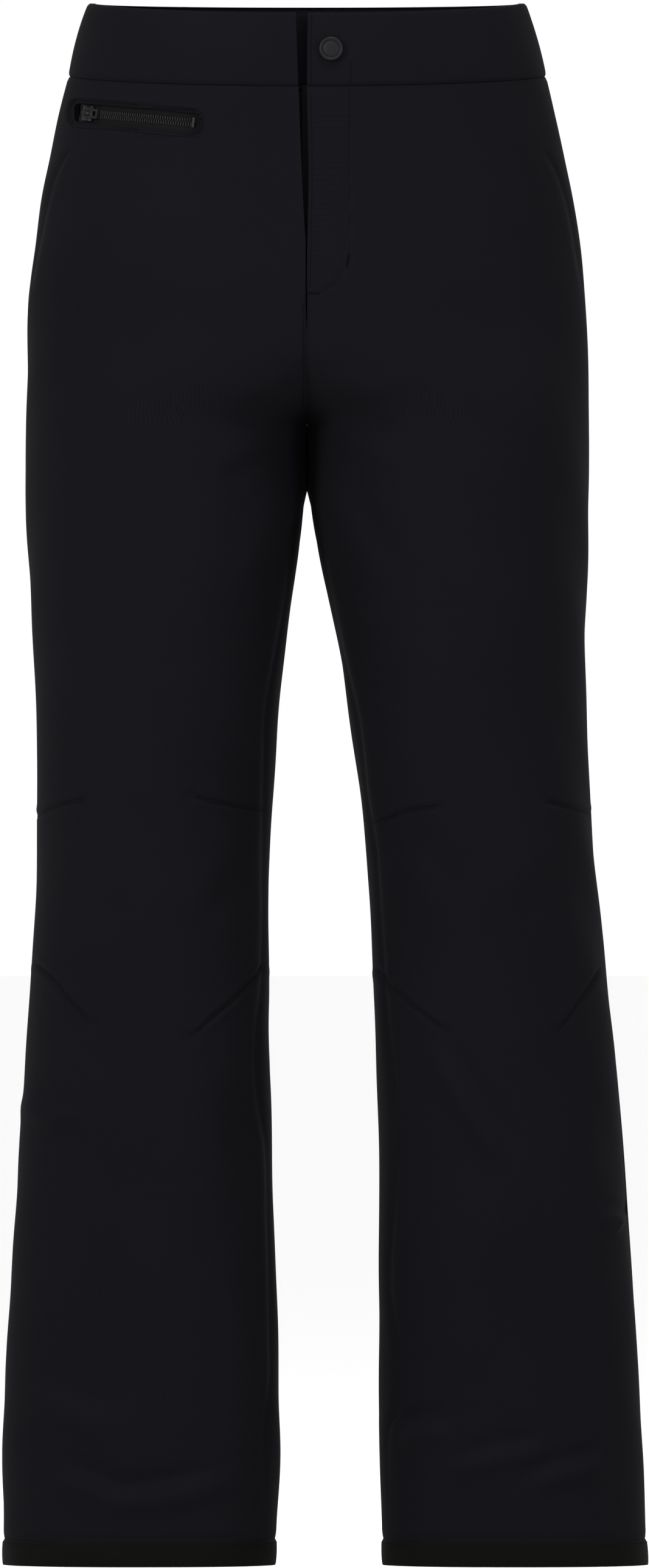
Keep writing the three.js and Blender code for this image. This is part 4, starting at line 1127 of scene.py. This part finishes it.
def rounded_bar(name, size, bevel, segments=1, taper=0.0):
    """A small bar with rounded edges, kept out of the scene as the shape to repeat."""
    bm = bmesh.new()
    bmesh.ops.create_cube(bm, size=1)
    for v in bm.verts:
        narrowing = 1 - taper * (v.co.x > 0)
        v.co = (v.co.x * size[0], v.co.y * size[1] * narrowing, v.co.z * size[2])
    bmesh.ops.bevel(bm, geom=bm.edges[:], offset=bevel, segments=segments, affect="EDGES")
    for face in bm.faces:
        face.smooth = True
    mesh = bpy.data.meshes.new(name)
    bm.to_mesh(mesh)
    bm.free()
    return bpy.data.objects.new(name, mesh)


def along(place, u, v, pitch, lift=0.0, uphill=False, count=600):
    """Points a pitch apart on a line of a surface, with the line's way (or uphill) and the surface's out."""
    u, v = np.broadcast_arrays(np.atleast_1d(u).astype(float), np.atleast_1d(v).astype(float))
    t, fine = np.linspace(0, 1, len(u)), np.linspace(0, 1, count)
    u, v = np.interp(fine, t, u), np.interp(fine, t, v)
    on = place(u, v, 0.0)
    out = on - place(u, v, 1 * MM)
    out /= np.linalg.norm(out, axis=-1, keepdims=True)
    length = np.concatenate([[0], np.linalg.norm(np.diff(on, axis=0), axis=1).cumsum()])
    stops = np.arange(pitch / 2, length[-1], pitch)
    pick = lambda values: np.stack([np.interp(stops, length, values[:, k]) for k in range(3)], 1)
    way = place(u, v + 0.05, 0.0) - place(u, v - 0.05, 0.0) if uphill else np.gradient(on, axis=0)
    return pick(on + out * lift), pick(way), pick(out)


# %% [markdown]
# The ribs of the elastic run up and down, a little under two millimetres apart.

# %% Facings and ribbed elastics inside the waist
BAND_DEPTH = 3.4 * MM
FACING = 1.2 * MM
rear = whole_back(band_place)
inside = {
    "facing_right": (band_place("right"), -np.linspace(0, 0.8, 40), LINING, "waistband_facing_right"),
    "facing_left": (band_place("left"), -np.linspace(0, 0.93, 40), LINING, "waistband_facing_left"),
    "facing_rear": (rear, np.linspace(-0.44, 0.44, 60), LINING, "waistband_facing_back"),
    "elastic_waist_right": (rear, np.linspace(-0.995, -0.45, 50), ELASTIC, "side_elastic_right"),
    "elastic_waist_left": (rear, np.linspace(0.45, 0.995, 50), ELASTIC, "side_elastic_left"),
}
rib_shape = rounded_bar("rib", (BAND_HEIGHT - 4 * MM, 1.25 * MM, 0.9 * MM), 0.35 * MM)
for name, (place, u, material, stands) in inside.items():
    sunk = lambda a, b, sink, place=place: place(a, b, sink + BAND_DEPTH)
    piece = sewn(name, sunk, u[None], np.linspace(0.02, 0.965, 20)[:, None], FACING, [material])
    dress(piece, "elastic" if material is ELASTIC else "lining", [stands], "pelvis")
    if material is ELASTIC:
        at, up, out = along(lambda a, b, sink: sunk(a, b, sink + FACING), u, 0.49, 1.9 * MM, uphill=True)
        ribs = repeated("ribs_" + name, rib_shape, at, up, out, ELASTIC, 1.0, 0.01, 5)
        dress(ribs, "elastic", body="pelvis")
print("inside the waist:", ", ".join(inside))

# %% [markdown]
# ## Behind the fly
#
# A tab of the waistband carries the lower half of the snap, an underlap keeps the zip off the skin,
# and a facing backs the left front. Each starts flat against the cloth it is sewn to and steps
# back across the opening.

# %% Layers behind the fly
def layer_place(join, deep):
    """place(x, z, sink) for a layer joined to the front at x = join and sunk deep beyond it."""

    def place(x, z, sink):
        x, z = np.broadcast_arrays(x, z)
        t = np.clip((np.abs(x - join) - 4 * MM) / (12 * MM), 0, 1)
        ease = t * t * (3 - 2 * t)
        return front_cloth(x, z, sink + 3.3 * MM + (deep - 3.3 * MM) * ease)

    return place


tab_low, tab_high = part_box("waistband_tab")
lap_low, lap_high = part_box("fly_underlap")
face_low, face_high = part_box("fly_facing")
layers = {
    "tab_behind_snap": (tab_low, tab_high, tab_low.x, 8 * MM, 2.2 * MM, SHELL_CLOTH, "waistband_tab"),
    "underlap": (lap_low, lap_high, lap_low.x, 10.2 * MM, 1.2 * MM, LINING, "fly_underlap"),
    "fly_facing_cloth": (face_low, face_high, face_high.x, 8.6 * MM, 0.8 * MM, LINING, "fly_facing"),
}
for name, (lowest, highest, join, deep, thick, material, stands) in layers.items():
    x = np.linspace(lowest.x, highest.x, 36)[None]
    z = np.linspace(lowest.z, highest.z, 30)[:, None]
    piece = sewn(name, layer_place(join, deep), x, z, thick, [material])
    dress(piece, "shell_cloth" if material is SHELL_CLOTH else "lining", [stands], "pelvis")
print("layers behind the fly:", ", ".join(layers))

# %% [markdown]
# ## Hems and boot gaiters
#
# The hem is bound with a strip folded over the edge, so it is thicker than the cloth and rounded at
# its foot. Inside, a gaiter narrows to a ribbed elastic that grips the ski boot. Its cloth gathers
# into small pleats towards the elastic.

# %% Hem bindings and gaiters
BINDING = 3.4 * MM


def hem_place(side):
    """place(turn, v, sink) for the binding, with v from 0 at its foot to 1 at its upper edge."""

    def place(turn, v, sink):
        turn, v = np.broadcast_arrays(turn, v)
        z = HEM_EDGE + (HEM_TOP - HEM_EDGE) * v
        puff = 0.75 * MM * np.sin(math.pi * np.clip(v, 0, 1)) ** 0.4 + 0.25 * MM * np.cos(turn * 41) * (1 - v)
        return cloth(side, turn, z, sink - puff * (1 - 2 * sink / BINDING))

    return place


gaiter_low, gaiter_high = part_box("gaiter_right")
grip_low, grip_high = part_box("gaiter_elastic_right")
PLEATS = 34


def gaiter_place(side, low_z, high_z):
    """place(turn, v, sink) for a gaiter, which gathers and narrows towards its foot."""

    def place(turn, v, sink):
        turn, v = np.broadcast_arrays(turn, v)
        z = low_z + (high_z - low_z) * v
        open_share = np.clip((z - gaiter_low.z) / (gaiter_high.z - gaiter_low.z), 0, 1)
        inset = 20 * MM + (4.2 * MM - 20 * MM) * open_share**1.5
        pleat = 1.3 * MM * (1 - open_share) ** 1.2 * np.sin(turn * math.pi * PLEATS + 2 * np.sin(turn * 7))
        return cloth(side, turn, z, inset + sink + pleat)

    return place


hoop_u = np.linspace(-1, 1, 241)[:-1]
for side in SIDES:
    pieces = {
        f"hem_{side}": (hem_place(side), 22, BINDING, HEM_CLOTH, "hem_binding", "binding"),
        f"gaiter_cloth_{side}": (
            gaiter_place(side, gaiter_low.z, gaiter_high.z), 34, 1.2 * MM, LINING, "gaiter", "lining"
        ),
        f"gripper_{side}": (
            gaiter_place(side, grip_low.z, grip_high.z), 10, 1.8 * MM, ELASTIC, "gaiter_elastic", "elastic"
        ),
    }
    for name, (place, rows, thick, material, stands, slot) in pieces.items():
        u = np.linspace(-1, 1, 4 * PLEATS * 3 + 1)[:-1] if stands == "gaiter" else hoop_u
        v = np.linspace(0, 1, rows)[:, None]
        piece = sewn(name, place, u[None], v, thick, [material], hoop=True)
        dress(piece, slot, [f"{stands}_{side}"], f"shin_{side}")
print("hems and gaiters done")

# %% [markdown]
# ## Pockets
#
# Pocket bags are flat pouches of lining, thickest in the middle. The zipped pocket's opening is
# finished with a narrow welt all round, folded in behind the edge of the cloth.

# %% Pocket bags and the welt
def bag_place(low_corner, high_corner, depth, thick):
    """place(x, z, sink) for a pouch whose two faces meet at its edges."""
    x0, x1 = sorted((low_corner.x, high_corner.x))
    z0, z1 = low_corner.z, high_corner.z

    def place(x, z, sink):
        x, z = np.broadcast_arrays(x, z)
        hump = np.sin(math.pi * (x - x0) / (x1 - x0)) * np.sin(math.pi * (z - z0) / (z1 - z0))
        crown = hump.clip(0, 1) ** 0.4
        flat = (1 - crown) * (thick / 2 - 0.3 * MM)
        return front_cloth(x, z, depth + sink + flat * (1 - 2 * sink / thick))

    return place


for name, depth, thick, stands in (
    ("pouch_hand_right", 3.2 * MM, 3 * MM, "hand_pocket_bag_right"),
    ("pouch_hand_left", 3.2 * MM, 3 * MM, "hand_pocket_bag_left"),
    ("pouch_zipped", 10 * MM, 2 * MM, "pocket_bag"),
):
    lowest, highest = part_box(stands)
    inset = 2 * MM
    x = np.linspace(lowest.x + inset, highest.x - inset, 40)[None]
    z = np.linspace(lowest.z, highest.z, 36)[:, None]
    piece = sewn(name, bag_place(lowest, highest, depth, thick), x, z, thick, [LINING])
    dress(piece, "lining", [stands], "pelvis")


def window_ring(turn, out):
    """Points round the pocket's window: turn from 0 to 1 goes once round, out is metres outside."""
    turn, out = np.broadcast_arrays(turn, out)
    half_w, half_h, r = (WINDOW_X[1] - WINDOW_X[0]) / 2, WINDOW_HALF, CORNER
    sides = [2 * (half_h - r), 2 * (half_w - r)]
    arc = math.pi * r / 2
    total = 2 * sum(sides) + 4 * arc
    s = (turn % 1) * total
    x, z = np.zeros(s.shape), np.zeros(s.shape)
    start = 0.0
    centre = [(1, 1), (-1, 1), (-1, -1), (1, -1)]
    for k in range(4):
        straight, angle = sides[k % 2], k * math.pi / 2
        cx, cz = centre[k][0] * (half_w - r), centre[k][1] * (half_h - r)
        nx, nz = math.cos(angle), math.sin(angle)
        on = (s >= start) & (s < start + straight)
        t = s - start - straight
        x = np.where(on, cx + nx * (r + out) - nz * t, x)
        z = np.where(on, cz + nz * (r + out) + nx * t, z)
        start += straight
        on = (s >= start) & (s <= start + arc + 1e-9)
        a = angle + (s - start) / r
        x = np.where(on, cx + np.cos(a) * (r + out), x)
        z = np.where(on, cz + np.sin(a) * (r + out), z)
        start += arc
    x = x + sum(WINDOW_X) / 2
    return x, z + window_middle(x)


def welt_place(turn, out, sink):
    x, z = window_ring(turn, out)
    roll = 0.9 * MM * np.clip(-out / (1.2 * MM), 0, 1) ** 2
    return front_cloth(x, z, sink + roll + 0.9 * MM)


welt_out = np.linspace(2.2 * MM, -1.1 * MM, 9)[:, None]
welt_round = np.linspace(0, 1, 161)[:-1][None]
welt = sewn("welt", welt_place, welt_round, welt_out, 0.9 * MM, [SHELL_CLOTH], hoop=True)
dress(welt, "shell_cloth", ["pocket_welt"], "pelvis")
print("window", [round(x / MM, 1) for x in WINDOW_X], "mm")

# %% [markdown]
# ## Zips
#
# A coil zip is two spirals of nylon sewn to woven tapes. Seen from the front, each turn of a spiral
# is one tooth, and the two sides interlock along the middle. The pocket's zip follows the curve of
# the hip, which is the same circle that its slider turns on in the frame.

# %% Zip paths
def zip_path(coil, joint):
    """at(s, w, h): along, across and out from the middle line of a coil of the frame."""
    points = np.array([v.co for v in frame["nodes"][coil].data.vertices])
    axis = np.array(JOINTS[joint]["axis"])
    if JOINTS[joint]["type"] == "slide":
        middle_line = points - np.outer(points @ axis, axis)
        centre = (middle_line.min(0) + middle_line.max(0)) / 2
        start, end = (points @ axis).min(), (points @ axis).max()
        out = np.array([0.0, -1.0, 0.0])
        out -= axis * (out @ axis)
        out /= np.linalg.norm(out)
        cross = np.cross(out, axis)

        def at(s, w, h):
            s, w, h = (np.asarray(a, float)[..., None] for a in np.broadcast_arrays(s, w, h))
            return centre + axis * (start + s) + cross * w + out * h

        return at, end - start
    hub = np.array(JOINTS[joint]["pos_m"])
    arm = points - hub
    lift = arm @ axis
    radial = arm - np.outer(lift, axis)
    radius = np.linalg.norm(radial, axis=1)
    ahead = radial.mean(0) / np.linalg.norm(radial.mean(0))
    onward = np.cross(axis, ahead)
    angle = np.arctan2(radial @ onward, radial @ ahead)
    r0, l0 = (radius.min() + radius.max()) / 2, (lift.min() + lift.max()) / 2
    spread = np.cov(np.stack([radius - r0, lift - l0]))
    way = np.linalg.eigh(spread)[1][:, 1]
    lean = math.atan2(-way[0] * np.sign(way[1]), abs(way[1]))

    def at(s, w, h):
        s, w, h = (np.asarray(a, float)[..., None] for a in np.broadcast_arrays(s, w, h))
        a = angle.min() + s / r0
        r = r0 + h * math.cos(lean) - w * math.sin(lean)
        up = l0 + w * math.cos(lean) + h * math.sin(lean)
        return hub + r * (np.cos(a) * ahead + np.sin(a) * onward) + up * axis

    return at, (angle.max() - angle.min()) * r0


tooth = rounded_bar("tooth", (3.3 * MM, 1.05 * MM, 1.7 * MM), 0.32 * MM, 1, 0.25)
PITCH = 1.75 * MM


def zip_teeth(name, at, length, stands):
    """Both rows of teeth of a coil, as one piece."""
    places, ways, outs = [], [], []
    for sign in (-1, 1):
        s = np.arange(PITCH * (0.75 + 0.25 * sign), length - 0.5 * MM, PITCH)
        w = np.full(len(s), sign * 1.35 * MM)
        places.append(at(s, w, 0.0))
        ways.append(at(s, w - sign * MM, 0.0) - at(s, w, 0.0))
        outs.append(at(s, w, MM) - at(s, w, 0.0))
    piece = repeated(name, tooth, *(np.concatenate(x) for x in (places, ways, outs)), COIL, 1.0, 0.02, 3)
    return dress(piece, "zip_coil", [stands], "pelvis")


for label, joint in (("pocket", "pocket_zip_travel"), ("fly", "fly_zip_travel")):
    at, length = zip_path(f"{label}_zip_coil", joint)
    zip_teeth(f"{label}_teeth", at, length, f"{label}_zip_coil")
    margin, half, deep = 4 * MM, 12 * MM, 0.3 * MM
    tape_place = lambda s, w, sink, at=at: at(s, w, deep - sink - 0.5 * MM * np.exp(-((w / (3 * MM)) ** 2)))
    s = np.linspace(-margin, length + margin, 60)[None]
    w = spaced(-half, half, 1 * MM)[:, None]
    tape = sewn(f"{label}_tape", tape_place, s, w, 2 * deep, [ZIP_TAPE])
    dress(tape, "zip_tape", [f"{label}_zip_tape"], "pelvis")
    print(label, "zip:", round(length / MM), "mm")

# %% [markdown]
# ## Metal pieces
#
# The sliders, the pull, the stops and the snap's inner halves are cast or pressed, so their edges
# are softly rounded. Each starts as a copy of its frame piece, cleaned of the joins between its
# triangles, with its sharp edges rounded off.

# %% Sliders, stops and snap halves
def softened(node_name, name, material, slot, bevel):
    """A copy of a frame piece with its flat faces merged and its edges rounded."""
    source = frame["nodes"][node_name]
    bm = bmesh.new()
    bm.from_mesh(source.data)
    bmesh.ops.remove_doubles(bm, verts=bm.verts[:], dist=1e-6)
    bmesh.ops.dissolve_limit(bm, angle_limit=math.radians(2), verts=bm.verts[:], edges=bm.edges[:])
    sharp = [e for e in bm.edges if len(e.link_faces) == 2 and e.calc_face_angle() > math.radians(35)]
    bmesh.ops.bevel(bm, geom=sharp, offset=bevel, segments=2, affect="EDGES", clamp_overlap=True)
    for face in bm.faces:
        face.smooth = True
    mesh = bpy.data.meshes.new(name)
    bm.to_mesh(mesh)
    bm.free()
    mesh.materials.append(material)
    mesh.set_sharp_from_angle(angle=math.radians(40))
    obj = bpy.data.objects.new(name, mesh)
    bpy.context.scene.collection.objects.link(obj)
    return dress(obj, slot, [node_name], source["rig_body"])


for node_name, name, bevel in (
    ("pocket_slider", "slider_pocket", 0.25 * MM),
    ("pocket_pull", "pull_pocket", 0.22 * MM),
    ("fly_slider", "slider_fly", 0.25 * MM),
    ("pocket_end_stop", "stop_pocket", 0.2 * MM),
    ("fly_end_stop", "stop_fly", 0.2 * MM),
):
    softened(node_name, name, PAINTED, "zip_metal", bevel)
for part in ("socket", "stud", "post"):
    softened(f"snap_{part}", f"{part}_of_snap", BARE_SNAP, "snap_metal", 0.15 * MM)
print("metal pieces done")

# %% [markdown]
# ## The snap's cap
#
# The cap is pressed from sheet brass and lacquered. It has a smooth raised rim, a ring of small
# dots inside it and a dull, finely pitted face.

# %% Snap cap
cap_points = np.array([v.co for v in frame["nodes"]["snap_cap"].data.vertices])
cap_centre = (cap_points.min(0) + cap_points.max(0)) / 2
spread_ways = np.linalg.eigh(np.cov((cap_points - cap_centre).T))[1]
cap_out = spread_ways[:, 0] * -np.sign(spread_ways[1, 0])
cap_reach = (cap_points - cap_centre) @ cap_out
CAP_RADIUS = np.linalg.norm((cap_points - cap_centre) - np.outer(cap_reach, cap_out), axis=1).max()
cap_foot = cap_centre + cap_out * cap_reach.min()
cap_up = np.array([0, 0, 1.0]) - cap_out * cap_out[2]
cap_up /= np.linalg.norm(cap_up)
cap_side = np.cross(cap_up, cap_out)
CAP_PROFILE = [
    (0.0, -1.0), (6.6, -1.0), (7.75, 0.1), (8.0, 0.7), (7.9, 1.25), (7.5, 1.75), (6.95, 1.95), (6.45, 1.75),
    (6.2, 1.3), (5.9, 1.2), (4.9, 1.25), (4.6, 1.45), (4.2, 1.6), (2.4, 1.72), (0.0, 1.78),
]


def cap_point(radius, angle, height):
    """A point of the cap, for a profile drawn at a radius of 8 mm."""
    given = np.broadcast_arrays(radius, angle, height)
    radius, angle, height = (np.asarray(a, float)[..., None] for a in given)
    scale = CAP_RADIUS / (8 * MM)
    spoke = cap_side * np.cos(angle) + cap_up * np.sin(angle)
    return cap_foot + spoke * radius * scale + cap_out * height


TURNS = 72
profile = np.array(CAP_PROFILE) * MM
angles = np.linspace(0, 2 * math.pi, TURNS + 1)[:-1]
grid = cap_point(profile[:, 0][:, None], angles[None], profile[:, 1][:, None])
index = np.arange(len(profile) * TURNS).reshape(len(profile), TURNS)
right = np.roll(index, -1, 1)
cap_faces = np.stack([index[:-1], right[:-1], right[1:], index[1:]], -1).reshape(-1, 4)
cap = finished("cap_of_snap", grid.reshape(-1, 3), cap_faces, [CAP])
bm = bmesh.new()
bm.from_mesh(cap.data)
bmesh.ops.remove_doubles(bm, verts=bm.verts[:], dist=1e-6)
bmesh.ops.recalc_face_normals(bm, faces=bm.faces[:])
bm.to_mesh(cap.data)
bm.free()
dot_shape = rounded_bar("dot", (0.75 * MM, 0.75 * MM, 0.7 * MM), 0.22 * MM, 2)
dot_angles = np.linspace(0, 2 * math.pi, 33)[:-1]
DOT_RING = 5.4 * MM
dot_places = cap_point(DOT_RING, dot_angles, 1.3 * MM)
dot_ways = cap_point(DOT_RING, dot_angles + 0.01, 0) - cap_point(DOT_RING, dot_angles, 0)
dots = repeated("dots_of_snap", dot_shape, dot_places, dot_ways, np.tile(cap_out, (32, 1)), CAP)
dress(cap, "snap_cap", ["snap_cap"], "fly_flap")
dress(dots, "snap_cap", body="fly_flap")
print(f"snap {2 * CAP_RADIUS / MM:.0f} mm across")

# %% [markdown]
# ## Stitches
#
# Seams of outerwear are sewn at about three stitches to the centimetre. Each stitch is a short
# length of thread that sinks into the cloth at both ends, so one small bar is set out along a line
# of the cloth again and again.

# %% Stitches
stitch_shape = rounded_bar("stitch", (2.5 * MM, 0.42 * MM, 0.4 * MM), 0.12 * MM)
tack_shape = rounded_bar("tack_thread", (2.2 * MM, 0.34 * MM, 0.5 * MM), 0.1 * MM)
STITCH_PITCH = 3.1 * MM


def stitched(name, rows, attach):
    """Rows of stitches as one piece; each row is (place, u, v)."""
    sets = [along(place, u, v, STITCH_PITCH, 0.1 * MM) for place, u, v in rows]
    piece = repeated(name, stitch_shape, *(np.concatenate(x) for x in zip(*sets)), THREAD, 1.0, 0.05, 11)
    attach(piece)
    return piece


on_pelvis = lambda piece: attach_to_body(piece, "pelvis")
left_hip, left_band = hip_place("left"), band_place("left")


def fly_u_at(x, z):
    """u on the fly of a place x metres from the middle plane."""
    return -1 - (fold_x(z) - x) / (fold_x(z) - left_edge(z))


edge_v = np.linspace((FLY_END + 0.004 - MEETING) / (-BAND_HEIGHT - MEETING), 0.985, 60)
edge_z = height_of(edge_v) - WAIST_DIP * (edge_v - FOOT_V) / (1 - FOOT_V)
edge_u = fly_u_at(left_edge(edge_z) + 2 * MM, edge_z)
band_edge_v = np.linspace(0.04, 0.96, 30)
band_edge_z = -BAND_HEIGHT * (1 - band_edge_v) - WAIST_DIP
band_edge_u = fly_u_at(left_edge(band_edge_z) + 2 * MM, band_edge_z)
J_LINE = flowing([(28.5, 60), (28.3, 100), (28.2, 140), (28, 166), (25, 180), (17, 191), (7.5, 197)])
j_on_fly = J_LINE[:, 0] < fold_x(J_LINE[:, 1]) - 0.3 * MM
split = int(np.argmin(j_on_fly)) if not j_on_fly.all() else len(J_LINE)
band_j_z = np.linspace(-0.041, -0.0565, 8)
band_j_v = 1 + (band_j_z + WAIST_DIP) / BAND_HEIGHT
stitched("stitches_fly", [
    (left_hip, edge_u, edge_v),
    (left_band, band_edge_u, band_edge_v),
    (left_band, fly_u_at(28.5 * MM, band_j_z), band_j_v),
    (front_cloth, J_LINE[: split + 1, 0], J_LINE[: split + 1, 1]),
], fly_blend)
stitched("stitches_fly_curve", [(front_cloth, J_LINE[split:, 0], J_LINE[split:, 1])], on_pelvis)
seam_z = np.linspace(-0.204, CROTCH + 0.004, 40)
stitched("stitches_middle", [(front_cloth, -2.7 * MM, seam_z)], on_pelvis)
ring = lambda turn, out, sink: front_cloth(*window_ring(turn, out), sink)
stitched("stitches_pocket", [(ring, np.linspace(0, 1, 200), np.full(200, 1.7 * MM))], on_pelvis)
facing_face = lambda u, v, sink: rear(u, v, BAND_DEPTH + FACING - sink)
stitched("stitches_waist", [(facing_face, np.linspace(-0.43, 0.43, 60), 0.86)], on_pelvis)
for side in SIDES:
    on_shin = lambda piece, side=side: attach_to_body(piece, f"shin_{side}")
    stitched(f"stitches_hem_{side}", [(hem_place(side), np.linspace(-1, 1, 300), 0.84)], on_shin)
print("rows of stitches sewn")

# %% [markdown]
# ## Bar tacks
#
# A bar tack is a dense zigzag of thread that keeps the end of an opening from tearing. There is one
# at the foot of the fly, one on the fly's curved line and one at the end of the pocket.

# %% Bar tacks
def bar_tack(name, start, end, width, attach):
    """A dense zigzag between two places on the front, in millimetres across and down."""
    line = np.array([start, end]) * (MM, -MM)
    at, way, out = along(front_cloth, line[:, 0], line[:, 1], 0.5 * MM, 0.35 * MM)
    across = np.cross(out, way)
    across /= np.linalg.norm(across, axis=1, keepdims=True)
    way /= np.linalg.norm(way, axis=1, keepdims=True)
    lean = np.where(np.arange(len(at)) % 2, 0.35, -0.35)[:, None]
    piece = repeated(name, tack_shape, at, across + way * lean, out, THREAD, width / (2.2 * MM), 0.04, 4)
    attach(piece)
    return piece


tack = bar_tack("tack_fly_end", (0.4, 196.6), (8, 196.6), 1.7 * MM, on_pelvis)
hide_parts("fly_bar_tack")
bar_tack("tack_fly_side", (28.2, 170.5), (26.8, 179.5), 1.5 * MM, on_pelvis)
bar_tack("tack_pocket_end", (-73.6, 77), (-74, 89), 1.4 * MM, on_pelvis)
print("stitches and tacks done")

# %% [markdown]
# ## What each piece of cloth was cut to
#
# Every piece of cloth was cut flat before it was sewn and hung. Its width and length here are
# measured over its curves, the widest round and the longest down, and its area is what is left of
# that rectangle after shaping.

HELD = {
    "folded": {
        "waistband_right": "facing_right", "waistband_left": "facing_left",
        "waistband_lap": "waistband_left", "waistband_rear": "facing_rear",
        "hem_right": "shell_leg_right", "hem_left": "shell_leg_left",
        "tab_behind_snap": "waistband_right",
    },
    "hung": {
        "shell_hip_right": "waistband_right", "shell_hip_left": "waistband_left",
        "shell_leg_right": "shell_hip_right", "shell_leg_left": "shell_hip_left",
        "fly_front": "waistband_lap", "underlap": "waistband_right",
        "fly_facing_cloth": "waistband_left", "fly_tape": "waistband_left",
        "pouch_hand_right": "shell_hip_right", "pouch_hand_left": "shell_hip_left",
        "pouch_zipped": "shell_hip_right",
    },
    "gathered": {"gaiter_cloth_right": "shell_leg_right", "gaiter_cloth_left": "shell_leg_left"},
    "stretched": {
        "elastic_waist_right": "waistband_rear", "elastic_waist_left": "waistband_rear",
        "gripper_right": "gaiter_cloth_right", "gripper_left": "gaiter_cloth_left",
        "facing_right": "waistband_right", "facing_left": "waistband_left",
        "facing_rear": "waistband_rear", "pocket_tape": "shell_hip_right",
        "seam_tape_front": "shell_hip_right", "seam_tape_back": "shell_hip_right",
    },
}
EXTRA = {"shell_hip_right": ["welt"], "elastic_waist_right": ["ribs_elastic_waist_right"],
         "elastic_waist_left": ["ribs_elastic_waist_left"]}
for held, pieces in HELD.items():
    for name, hung_from in pieces.items():
        width, length, area = (float(x) for x in FLAT[name])
        area = min(area, width * length)
        go_with = [bpy.data.objects[x] for x in EXTRA.get(name, [])]
        print(f"{name}: {width / MM:.0f} by {length / MM:.0f} mm, {area * 1e4:.0f} square cm, {held}")
